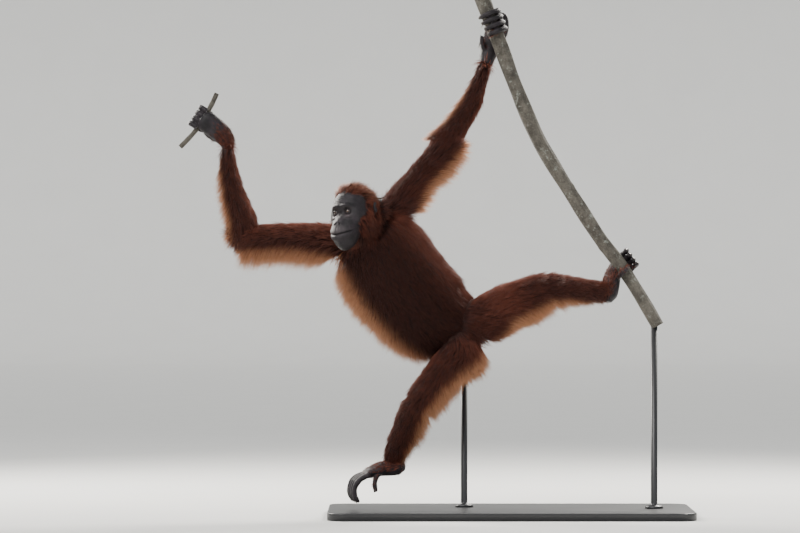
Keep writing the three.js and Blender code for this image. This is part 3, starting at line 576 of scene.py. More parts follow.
def skin_material() -> bpy.types.Material:
    """Bare dark skin with paler lids and muzzle, near-black painted shade in its creases and hollows, and
    dark coat colour under the hair.

    Returns:
        The material.
    """
    n = Nodes("skin")
    bare, pale, crease = n.tint()
    blotch = n.noise(38, 5)
    fine = n.noise(420, 6, 0.62)
    skin = n.mix(n.range(blotch, 0.3, 0.75), FACE.dark, FACE.light)
    skin = n.mix(pale * n.range(blotch, 0.15, 0.6), skin, PALE.light)
    # Painted shade: near black where the crease value is high.
    skin = n.mix(crease * 0.75, skin, (0.008, 0.006, 0.006, 1))
    under = n.mix(n.noise(60), COAT.dark, (0.045, 0.015, 0.009, 1))
    bent = n.make("ShaderNodeVectorMath", 0, {"operation": "MULTIPLY_ADD"}, i0=n.noise(90, 3),
                  i1=(0.012, 0.012, 0.012), i2=n.make("ShaderNodeTexCoord", 3))
    wrinkles = n.make("ShaderNodeTexVoronoi", 0, {"feature": "DISTANCE_TO_EDGE"}, Vector=bent, Scale=430.0)
    n.bump(fine * 0.8 + n.noise(150, 3) * 0.8 + n.range(wrinkles, 0.0, 0.25) * 0.3, 0.0006, 0.75)
    rough = 0.66 - fine * 0.22 + (1 - bare) * 0.3
    return n.finish(Base_Color=n.mix(bare, under, skin), Roughness=rough, Specular_IOR_Level=0.32)


def coat_material() -> bpy.types.Material:
    """Hair: dark roots, lighter tips, a darker chest side that is partly the coat's own tone and partly
    painted shade, and gold on the thin fringes that is partly their own paler tips and partly painted light
    from behind.

    Returns:
        The material.
    """
    n = Nodes("coat")
    tone, edge, vary = n.tint()
    # vary darkens the body colour with the painted shade of the chest side, partly the coat's own tone.
    body = n.mix(n.range(tone * 0.45 + vary * 0.75, 0.1, 1.1), COAT.dark, COAT.light)
    # lit is the fringes' gold, partly painted light from behind; edge mixes it in.
    lit = n.mix(n.range(tone * 0.8 + vary * 0.3, 0.2, 1.0), COAT_GOLD_AND_RIM_LIGHT.dark, COAT_GOLD_AND_RIM_LIGHT.light)
    colour = n.mix(n.range(edge * (tone + 0.35), 0.1, 0.95), body, lit)
    return n.finish(Base_Color=colour, Roughness=COAT.rough, Specular_IOR_Level=0.22)


def eye_material() -> bpy.types.Material:
    """Black pupil, dark brown iris and brown-black white of the eye, by angle from the gaze.

    Returns:
        The material.
    """
    n = Nodes("eye")
    ring, streak, _ = n.tint()
    iris = n.mix(streak, (0.05, 0.016, 0.006, 1), (0.13, 0.05, 0.018, 1))
    colour = n.mix(n.range(ring, 0.20, 0.235), (0.002, 0.002, 0.002, 1), iris)
    colour = n.mix(n.range(ring, 0.50, 0.56), colour, (0.05, 0.032, 0.026, 1))
    return n.finish(Base_Color=colour, Roughness=0.06, Coat_Weight=1.0)


def nail_material() -> bpy.types.Material:
    """Dark horn.

    Returns:
        The material.
    """
    n = Nodes("nail")
    shade = n.mix(n.noise(300), (0.022, 0.017, 0.015, 1), (0.055, 0.044, 0.038, 1))
    return n.finish(Base_Color=shade, Roughness=0.42)


def bark_material() -> bpy.types.Material:
    """Grey-brown bark with fine cracks and pale blotches.

    Returns:
        The material.
    """
    n = Nodes("bark")
    broad, fine = n.noise(26, 5), n.noise(190, 6, 0.65)
    colour = n.mix(n.range(broad * 0.6 + fine * 0.5, 0.35, 0.75), BARK.dark, BARK.light)
    spots = n.range(n.noise(55, 6, 0.7), 0.56, 0.66)
    colour = n.mix(spots * 0.7, colour, n.mix(fine, LICHEN.dark, LICHEN.light))
    n.bump(fine * 0.8 + spots * 0.4, 0.0014, 0.9)
    return n.finish(Base_Color=colour, Roughness=BARK.rough)


def stand_material() -> bpy.types.Material:
    """Satin black paint.

    Returns:
        The material.
    """
    n = Nodes("stand")
    speck = n.noise(700, 3)
    n.bump(speck, 0.0001, 0.5)
    return n.finish(Base_Color=n.mix(speck, STAND.dark, STAND.light), Roughness=STAND.rough)


def cove_material() -> bpy.types.Material:
    """Pale studio paper."""
    n = Nodes("paper")
    return n.finish(Base_Color=n.mix(n.noise(3), (0.62, 0.62, 0.60, 1), (0.66, 0.66, 0.64, 1)), Roughness=0.9)


def line_at(line: Rows, height: float) -> tuple[Array, Array]:
    """Where a stem passes a height.

    Args:
        line: Points along the stem.
        height: The height in millimetres.

    Returns:
        The point there and the stem's upward direction.
    """
    dense = curve_points(np.array(line, float), 800)
    place = int(np.argmin(np.abs(dense[:, 2] - height)))
    place = min(max(place, 1), len(dense) - 2)
    axis = unit(dense[place + 1] - dense[place - 1])
    return dense[place], axis if axis[2] > 0 else -axis


def wrap_points(centre: Array, axis: Array, start: float, end: float, across: float, front: float,
                slide: float) -> Array:
    """Points of a digit bent round a stem along an ellipse that slides on the axis.

    Args:
        centre: Point on the stem.
        axis: The stem's direction.
        start: First angle in degrees; 90 faces the camera.
        end: Last angle.
        across: Half axis in the picture plane.
        front: Half axis towards the camera.
        slide: Millimetres along the axis from first to last.

    Returns:
        Nine points.
    """
    side = unit(np.cross(VIEW, axis))
    face = unit(np.cross(side, axis))
    face = -face if face[1] > 0 else face
    part = np.linspace(0, 1, 9)[:, None]
    angle = np.radians(start + (end - start) * part)
    return centre + side * np.cos(angle) * across + face * np.sin(angle) * front + axis * slide * part


@dataclass
class Digit:
    """One finger or toe.

    Args:
        name: Digit name.
        line: Points along it.
        radius: Radius at its root in millimetres.
    """

    name: str
    line: Array
    radius: float

    def patch(self) -> Patch:
        """Tube with swollen joints and a round tip; the radius is the root's times a taper and bells.

        Returns:
            The closed tube.
        """
        centre = curve_points(self.line, DIGIT_STEPS)
        part = np.linspace(0, 1, DIGIT_STEPS)
        left = np.clip((1 - part) / 0.13, 0, 1)
        tip = np.sqrt(np.maximum(1 - (1 - left) ** 2, 0.02))
        knuckles = 1 + 0.09 * gauss(part, 0.4, 0.07) + 0.07 * gauss(part, 0.72, 0.05)
        size = self.radius * tip * (knuckles - 0.05 * gauss(part, 0.56, 0.06)) * (1.03 - 0.14 * part)
        return grid_patch(ring_grid(np.column_stack([centre, size, size, size * 0]), 20, -0.4))

    def nail(self) -> Patch:
        """Plate bent as a cosine over the side of the tip that faces away from the digit's bow.

        Returns:
            The plate.
        """
        centre = curve_points(self.line, DIGIT_STEPS)
        bow = centre[25] - (centre[36] + centre[14]) / 2
        spot, along = centre[36], unit(centre[38] - centre[32])
        out = unit(bow + 1e-3) * 10
        out = unit(out - along * np.dot(out, along))
        side = np.cross(along, out)
        u, v = np.meshgrid(np.linspace(-1, 1, 9), np.linspace(-1, 1, 7), indexing="ij")
        size = self.radius * 0.8
        bend, rise = np.sin(u * 0.82), np.cos(u * 0.82)
        shape = spot + along * (v * 4.8 * (1 - 0.2 * u * u))[..., None] + side * (bend * size)[..., None]
        top = shape + out * (rise * size + 0.75 - 0.5 * np.abs(v) ** 6)[..., None]
        low = shape + out * (rise * size - 1.2)[..., None]
        return grid_patch(np.concatenate([top, low[:, ::-1]], axis=1))


def digits() -> dict[str, list[Digit]]:
    """Every finger and toe: those that grip bend round their stem, those of the free foot hang.

    Returns:
        The digits by hand or foot.
    """
    groups: dict[str, list[Digit]] = {key: [] for key in BACKS}
    top, axis = line_at(VINE_LINE, 1630)
    fist, stem = line_at(TWIG_LINE, 1303)
    low, rise = line_at(VINE_LINE, 832)
    for place, name in enumerate(FINGER_NAMES):
        line = wrap_points(top + axis * (32 - place * 21), axis, -72, 158 - place * 5, 36.1, 36.1, -4)
        groups["hand_left"].append(Digit(f"hand_left_{name}", line, 9.5))
        line = wrap_points(fist + stem * (31 - place * 20.5), stem, 96, 320, 27, 19, 0)
        groups["hand_right"].append(Digit(f"hand_right_{name}", line, 9.5))
    for place, name in enumerate(TOE_NAMES):
        line = wrap_points(low + rise * (18 - place * 19), rise, -112, 40 - place * 4, 46, 32.7, 6)
        groups["foot_left"].append(Digit(f"foot_left_{name}_toe", line, 9))
        y, drop = -14 - place * 20, place * 1.5
        line = np.array([(-474, y, 140), (-506, y, 127 - drop), (-522, y, 100 - drop), (-521, y, 72 - drop),
                         (-507, y, 52 - drop)], float) + np.array([place * 5.5 - 6, 0, 0])
        groups["foot_right"].append(Digit(f"foot_right_{name}_toe", line, 9.9))
    grip, rise = line_at(VINE_LINE, 800)
    first = {
        "hand_left_thumb": ([(-74, 84, 1530), (-86, 74, 1550), (-92, 62, 1574), (-90, 54, 1588)], 8.2),
        "hand_right_thumb": ([(-950, -140, 1242), (-966, -130, 1238), (-988, -120, 1250),
                              (-1002, -114, 1264)], 8.2),
        "foot_left_hallux": (np.vstack([(330, 2, 776), wrap_points(grip, rise, 186, 52, 33, 34, 14)]), 9),
        "foot_right_hallux": ([(-428, -50, 146), (-442, -66, 128), (-446, -74, 106), (-441, -76, 82)], 9),
    }
    for name, (line, radius) in first.items():
        groups[name.rpartition("_")[0]].append(Digit(name, np.array(line, float), radius))
    return groups


@dataclass(frozen=True)
class Swell:
    """Bell-shaped rise or hollow of the head, in degrees about its centre.

    Args:
        size: Height in millimetres, negative in a hollow.
        at: Azimuth of its middle.
        level: Elevation of its middle.
        wide: Spread in azimuth.
        rise: Spread in elevation above the middle.
        drop: Spread below the middle, or 0 where it is the same.
    """

    size: float
    at: float
    level: float
    wide: float
    rise: float
    drop: float = 0

    def height(self, angle: Array, elevation: Array) -> Array:
        """Size times exp of minus the squared offsets over their spreads.

        Args:
            angle: Azimuth, or its size where the swell is paired.
            elevation: Degrees above level.

        Returns:
            Millimetres to add to the radius.
        """
        spread = np.where(elevation > self.level, self.rise, self.drop or self.rise)
        offsets = ((angle - self.at) / self.wide) ** 2 + ((elevation - self.level) / spread) ** 2
        return self.size * np.exp(-offsets)


MIDLINE_SWELLS = {
    "muzzle": Swell(54, 0, -38, 27, 19, 23),
    "nose": Swell(7, 0, -14, 9, 8),
    "chin": Swell(28, 0, -60, 32, 16),
    "bridge": Swell(-7, 0, -3, 8, 8),
    "throat": Swell(10, 0, -66, 60, 16, 18),
    "crown": Swell(8, 0, 78, 200, 40),
}
PAIRED_SWELLS = {
    "jaw": Swell(9, 27, -54, 13, 16),
    "muzzle side": Swell(6, 24, -34, 12, 12),
    "nose wing": Swell(4.5, 7.5, -20.5, 4.5, 4),
    "socket": Swell(-12, 17, 1, 8, 7),
    "brow": Swell(7.5, 15, 14, 14, 4.5),
    "cheekbone": Swell(6, 48, -8, 22, 18),
    "eye bag": Swell(2.6, 18, -9.5, 8, 3),
    "bag crease": Swell(-2.2, 19, -14.5, 9, 1.8),
    "nape side": Swell(7, 95, -28, 36, 30),
}


@dataclass
class Head:
    """Head with lids, lips, nostrils and ears, as radii in directions from its centre.

    Args:
        centre: Its centre in the row frame.
        yaw: Degrees it is turned from the camera to the photo's left.
        pitch: Degrees it looks up.
        roll: Degrees it leans.
        skull: Half axes of the skull forward, sideways and up.
        eye_radius: Radius of an eyeball.
        eye_depth: Distance from the centre to an eyeball's centre.
        coat: Millimetres that the skin lies under the hair.
    """

    centre: tuple[float, float, float] = (-510, -88, 997)
    yaw: float = 36
    pitch: float = 2
    roll: float = -7
    skull: tuple[float, float, float] = (84, 69, 87)
    eye_radius: float = 11
    eye_depth: float = 70
    coat: float = 5

    def __post_init__(self) -> None:
        """Works out the head's own directions: square to each other, then rolled about forward."""
        turn, pitch = math.radians(self.yaw), math.radians(self.pitch)
        forward = unit(np.array([-math.sin(turn), -math.cos(turn), math.tan(pitch)]))
        left = np.array([math.cos(turn), -math.sin(turn), 0.0])
        up = unit(np.cross(left, forward))
        up = up if up[2] > 0 else -up
        tilt = math.radians(self.roll)
        self.forward = forward
        self.left = self._spin(left, forward, -tilt)
        self.up = self._spin(up, forward, -tilt)

    @staticmethod
    def _spin(vector: Array, axis: Array, angle: float) -> Array:
        """Vector turned about a unit axis by Rodrigues' formula."""
        turned = vector * math.cos(angle) + np.cross(axis, vector) * math.sin(angle)
        return turned + axis * np.dot(axis, vector) * (1 - math.cos(angle))

    def spot(self, forward: Array, left: Array, up: Array) -> Array:
        """Row-frame points from distances forward, left and up."""
        parts = [np.asarray(value, float)[..., None] for value in (forward, left, up)]
        return np.array(self.centre) + self.forward * parts[0] + self.left * parts[1] + self.up * parts[2]

    def at(self, radius: Array, azimuth: Array, elevation: Array) -> Array:
        """Row-frame points at a radius in directions in degrees.

        Args:
            radius: Distance from the centre.
            azimuth: Degrees from forward to the animal's left.
            elevation: Degrees above level.

        Returns:
            The points.
        """
        az, el = np.radians(azimuth), np.radians(elevation)
        level = radius * np.cos(el)
        return self.spot(level * np.cos(az), level * np.sin(az), radius * np.sin(el))

    def eye(self, side: int) -> Array:
        """Forward, left and up distances of an eye's centre."""
        turn, lift, depth = math.radians(17 * side), math.radians(1), self.eye_depth
        return np.array([depth * math.cos(turn), depth * math.sin(turn) * 1.12, depth * math.sin(lift)])

    def face_mask(self, azimuth: Array, elevation: Array) -> Array:
        """Bareness of the face: steps across a ragged hairline at the sides, brow and chin.

        Args:
            azimuth: Degrees from forward to the animal's left.
            elevation: Degrees above level.

        Returns:
            1 on the bare face, 0 under hair.
        """
        ragged = 2.5 * np.sin(elevation / 3.1) * np.sin(azimuth / 5.3 + 1)
        ragged = ragged + 1.5 * np.sin(elevation / 1.3 + azimuth / 2.7)
        limit = 48 + 24 * smoothstep(elevation, -26, 2) + ragged
        side = smoothstep(np.abs(azimuth) - limit, 11, -9)
        top = smoothstep(elevation + 0.10 * np.abs(azimuth) + ragged, 58, 42)
        return side * top * smoothstep(elevation + ragged, -82, -62)

    @staticmethod
    def mouth(azimuth: Array, elevation: Array) -> tuple[Array, Array, Array]:
        """Bells along the two lips, less the mouth's line, the nostrils and the groove above the lip.

        Args:
            azimuth: Degrees from forward to the animal's left.
            elevation: Degrees above level.

        Returns:
            Millimetres to add to the radius, and the shares of the mouth's line and of the nostrils.
        """
        away = np.abs(azimuth)
        line = -33 - 3 * (azimuth / 36) ** 2
        upper, lower = -28.4 - 4 * (azimuth / 34) ** 2, -37.6 + 0.5 * (azimuth / 34) ** 2
        slot = gauss(elevation, line, 0.85) * smoothstep(away, 32, 25)
        nostril = gauss(away, 4.6, 2.6) * gauss(elevation + 0.35 * (away - 4.6), -20.8, 1.5)
        lips = 3.4 * gauss(elevation, upper, 3.6) + 4.0 * gauss(elevation, lower, 3.6)
        relief = smoothstep(away, 38, 26) * lips - 7.5 * slot - 7 * nostril
        return relief - 1.2 * gauss(away, 0, 1.6) * gauss(elevation, -26, 3.5), slot, nostril

    @staticmethod
    def folds(azimuth: Array, elevation: Array) -> Array:
        """Fine creases: narrow bells about wavy lines under the eyes, on the forehead and over the lip.

        Args:
            azimuth: Degrees from forward to the animal's left.
            elevation: Degrees above level.

        Returns:
            How deep each place lies in a crease, from 0 to about 1.
        """
        away = np.abs(azimuth)
        total = np.zeros_like(away)
        for row in range(5):
            line = elevation + 0.30 * away + 7.5 + 4.2 * row + 0.8 * np.sin(away / 3.7 + row * 2)
            total += 0.8 * gauss(line, 0, 0.95) * gauss(away, 20 + 2 * row, 9) * (0.9 - 0.12 * row)
        for row in range(5):
            line = elevation - 18 - 4.2 * row + 0.9 * np.sin(azimuth / 9 + row)
            total += 0.55 * gauss(line, 0, 0.6) * smoothstep(away, 32, 16)
        upright = np.clip(np.cos(azimuth * 1.15), 0, 1) ** 14
        return total + 0.45 * upright * gauss(elevation, -29, 5) * smoothstep(away, 34, 26)

    def lids(self, side: int, direction: Array, radius: Array) -> tuple[Array, Array, Array]:
        """Lids of one eye: near it the radius follows the ball plus the lid's thickness, and inside
        the almond opening, between two parabolas, it drops behind the ball.

        Args:
            side: 1 for the left eye, -1 for the right.
            direction: Unit directions from the head's centre.
            radius: Radius without this eye.

        Returns:
            The new radius, and what is added to the crease value, as painted shade along the lid rims and in
            the lid fold, and to the pale values.
        """
        centre = self.eye(side)
        along = direction @ centre
        miss = along**2 - (centre @ centre - self.eye_radius**2)
        ball = along + np.sqrt(np.maximum(miss, 0))
        gap = direction * ball[..., None] - centre
        u = gap[..., 1] * math.cos(0.30 * side) - gap[..., 0] * math.sin(0.30 * side)
        v = gap[..., 2] - 0.5
        near = direction * (self.eye_depth + 4) - centre
        apart = np.sqrt(near[..., 1] ** 2 + near[..., 2] ** 2 + 0.3 * near[..., 0] ** 2)
        zone = smoothstep(apart, 14.5, 8.5)
        fold = gauss(v, 8.0, 0.9)
        thick = 2.0 + 0.9 * gauss(v, 5.2, 1.6) + 0.8 * gauss(v, -4.6, 1.4) - fold
        radius = radius * (1 - zone) + np.where(miss > 0, ball + thick, radius) * zone
        curve = 1 - (u / 8.4) ** 2
        top, low = 3.9 * curve + 0.2, -3.4 * curve - 0.1
        opening = smoothstep(top - v, 0.0, 0.5) * smoothstep(v - low, 0.0, 0.5)
        opening = opening * (np.abs(u) < 8.3) * (miss > 0)
        radius = np.where(opening > 0.02, radius * (1 - opening) + (ball - 2.0) * opening, radius)
        # Painted shade along the lid rims and in the lid fold.
        rim = gauss(v, top, 1.1) + gauss(v, low, 1.1)
        return radius, zone * (0.6 * rim + 0.5 * fold), 0.35 * zone * (1 - np.clip(rim, 0, 1))

    def radius(self, azimuth: Array, elevation: Array) -> tuple[Array, Array]:
        """Radius of the head and its colour values in directions in degrees.

        The radius is a skull's ellipsoid plus the named swells, the mouth's relief, less the folds
        and the coat's depth under hair, and then the lids.

        Args:
            azimuth: Degrees from forward to the animal's left.
            elevation: Degrees above level.

        Returns:
            The radius, and bare, pale and crease values.
        """
        az, el = np.radians(azimuth), np.radians(elevation)
        level = np.cos(el)
        direction = np.stack([level * np.cos(az), level * np.sin(az), np.sin(el)], -1)
        away = np.abs(azimuth)
        relief, slot, nostril = self.mouth(azimuth, elevation)
        folds = self.folds(azimuth, elevation)
        mask = self.face_mask(azimuth, elevation)
        radius = 1 / np.sqrt(((direction / np.array(self.skull, float)) ** 2).sum(-1))
        radius = radius + sum(swell.height(azimuth, elevation) for swell in MIDLINE_SWELLS.values())
        radius = radius + sum(swell.height(away, elevation) for swell in PAIRED_SWELLS.values())
        radius = radius + relief - 1.6 * folds - self.coat * (1 - mask)
        # Painted shade: the eye sockets, the face's sides below the brow and the throat under the chin
        # darken, with the folds, the mouth's line and the nostrils.
        hollow = 0.9 * gauss(away, 15, 9) * gauss(elevation, 8, 5)
        hollow += 0.5 * gauss(away, 17, 13) * gauss(elevation, 1, 8)
        side_and_chin_shade = 0.55 * smoothstep(away, 30, 66) * smoothstep(elevation, 42, 12)
        side_and_chin_shade += 0.5 * smoothstep(elevation, -40, -54)
        crease = np.clip(0.5 * folds + slot + nostril + hollow + side_and_chin_shade, 0, 1)
        pale = 0.75 * gauss(away, 19, 8) * gauss(elevation, -7.5, 4.5)
        pale += 0.45 * gauss(away, 17, 9) * gauss(elevation, 8.5, 3)
        pale += 0.35 * gauss(azimuth, 0, 26) * gauss(elevation, -29, 6) * smoothstep(away, 38, 26)
        for side in (-1, 1):
            radius, more_crease_shade, more_pale = self.lids(side, direction, radius)
            crease = np.clip(crease + more_crease_shade, 0, 1)
            pale = pale + more_pale
        return radius, np.stack([mask, np.clip(pale, 0, 1) * mask, crease * mask], -1)

    def surface(self, azimuth: Array, elevation: Array, out: float = 0) -> Array:
        """Row-frame points of the head's skin, or a distance out from it."""
        return self.at(self.radius(azimuth, elevation)[0] + out, azimuth, elevation)

    def patch(self) -> Patch:
        """Fine grid of directions, closest at the eyes and muzzle, spaced by cubic formulas.

        Returns:
            The closed head.
        """
        share = np.linspace(-1, 1, 301)[:-1]
        azimuth = 180 * (0.32 * share + 0.68 * share**3)
        rise = np.linspace(-1, 1, 243)[1:-1]
        elevation = np.clip(-12 + 60 * rise + 30 * rise**3 + 12 * rise**2 * np.abs(rise), -89.5, 89.5)
        grid_el, grid_az = np.meshgrid(elevation, azimuth, indexing="ij")
        radius, values = self.radius(grid_az, grid_el)
        patch = grid_patch(self.at(radius, grid_az, grid_el)[:, ::-1])
        patch.values = np.vstack([values[:, ::-1].reshape(-1, 3), np.zeros((2, 3))])
        return patch

    def ear(self, side: int) -> Patch:
        """Small ear: a dished disc with a rolled rim, a bell about its edge, over a domed back.

        Args:
            side: 1 for the left ear, -1 for the right.

        Returns:
            The closed ear.
        """
        out = self.left * side
        tip = unit(-0.5 * self.forward + 0.86 * out)
        broad = unit(0.86 * self.forward + 0.5 * out)
        part = np.linspace(0.02, 1, 16)
        angle = np.arange(48) / 48 * TAU
        r, a = np.meshgrid(part, angle, indexing="ij")
        wave = 1 + 0.07 * np.cos(a * 2 + 0.6) - 0.06 * np.cos(3 * a)
        x, z = 12.6 * r * np.cos(a) * wave, 17.6 * r * np.sin(a) * wave
        rim = 3.4 * gauss(r, 0.86, 0.13) * smoothstep(np.cos(a), 0.98, 0.2)
        dish = 4.5 * gauss(r, 0.0, 0.5) - 1.6 * gauss(r, 0.62, 0.1)
        front = 4.6 + rim - dish
        back = -4 * (1 - r**2)
        base = self.spot(-9.0, side * 73.0, 11.0)

        def place(height: Array) -> Array:
            """Points at heights over the ear's root."""
            return base + broad * x[..., None] + self.up * z[..., None] + tip * height[..., None]

        grid = np.concatenate([place(front), place(back)[::-1]])
        grid = grid if side > 0 else grid[:, ::-1]
        patch = grid_patch(grid)
        shade = np.zeros((len(patch.points), 3))
        shade[:, 0] = 1
        # Painted shade in the ear's hollow, through the crease value.
        shade[: front.size, 2] = (0.8 * gauss(r, 0.0, 0.35)).ravel()
        patch.values = shade
        return patch

    def eyeball(self, side: int) -> Patch:
        """Ball with a low cornea; the first value is the angle from the gaze in radians.

        Args:
            side: 1 for the left eye, -1 for the right.

        Returns:
            The closed ball.
        """
        centre = self.spot(*self.eye(side))
        gaze = unit(self.forward + 0.05 * self.up - 0.04 * self.left)
        first = unit(np.cross(gaze, np.array([0.0, 0.0, 1.0])))
        second = np.cross(gaze, first)
        open_angle = np.linspace(0.01, math.pi - 0.01, 64)
        turn = np.arange(64) / 64 * TAU
        theta, phi = np.meshgrid(open_angle, turn, indexing="ij")
        size = self.eye_radius - 0.15 + 0.5 * smoothstep(theta, 0.62, 0.2)
        grid = centre + (gaze * np.cos(theta)[..., None] + first * (np.sin(theta) * np.cos(phi))[..., None]
                         + second * (np.sin(theta) * np.sin(phi))[..., None]) * size[..., None]
        patch = grid_patch(grid)
        streak = 0.5 + 0.5 * np.sin(phi * 23) * np.sin(phi * 7 + 1)
        values = np.stack([theta, streak, theta * 0], -1).reshape(-1, 3)
        patch.values = np.vstack([values, [[0, 0, 0], [3, 0, 0]]])
        return patch


@dataclass
class Tufts:
    """Tufts as arrays, one row for each.

    Args:
        root: Root points, sunk into the skin.
        normal: Skin normals.
        middle: Control points of their curves.
        tip: Tips.
        width: Half widths in millimetres.
        edge: Share of the fringe's gold, partly painted light from behind.
        vary: Random tone, darkened by painted shade on the chest side and the left cheek, and darker in the
            beard.
        place: Root places on the unwrap of the skin.
    """

    root: Array
    normal: Array
    middle: Array
    tip: Array
    width: Array
    edge: Array
    vary: Array
    place: Array

    def pick(self, rows: Array) -> Tufts:
        """The tufts of the given rows."""
        return Tufts(*(getattr(self, field.name)[rows] for field in fields(self)))

    def build(self, name: str) -> bpy.types.Object:
        """Mesh of closed three-sided tufts along quadratic curves from root over middle to tip.

        Each has two rings of three corners and a tip, and its patch of the OFBake unwrap lies
        round its root's place.

        Args:
            name: Piece name.

        Returns:
            The piece.
        """
        count = len(self.root)
        rings, uvs, tones = [], [], []
        for part, broad in TUFT_RINGS:
            centre = self.root * (1 - part) ** 2 + self.middle * 2 * part * (1 - part) + self.tip * part**2
            along = unit((self.middle - self.root) * (1 - part) + (self.tip - self.middle) * part)
            side = unit(np.cross(along, self.normal))
            face = unit(np.cross(side, along))
            for x, y in TUFT_CORNERS:
                reach = self.width * broad
                rings.append(centre + side * (x * reach)[:, None] + face * (y * reach)[:, None])
                uvs.append(self.place + np.array([x * 0.0014, (part - 0.5) * TUFT_PATCH]))
                tones.append(np.full(count, part))
        rings.append(self.tip)
        uvs.append(self.place + np.array([0, TUFT_PATCH / 2]))
        tones.append(np.ones(count))
        points = np.stack(rings, 1).reshape(-1, 3)
        place = np.stack(uvs, 1).reshape(-1, 2)
        pattern = [(0, 2, 1), (3, 4, 6), (4, 5, 6), (5, 3, 6)]
        for low, after in ((0, 1), (1, 2), (2, 0)):
            pattern += [(low, after, after + 3), (low, after + 3, low + 3)]
        faces = (np.array(pattern)[None] + (np.arange(count) * 7)[:, None, None]).reshape(-1, 3)
        tone = np.stack(tones, 1).reshape(-1)
        values = np.stack([tone, np.repeat(self.edge, 7), np.repeat(self.vary, 7)], -1)
        obj = make_object(name, Patch(points, [faces], values))
        layer = obj.data.uv_layers.new(name="OFBake")
        layer.data.foreach_set("uv", np.clip(place[faces.ravel()], 0, 1).astype(np.float32).ravel())
        return obj


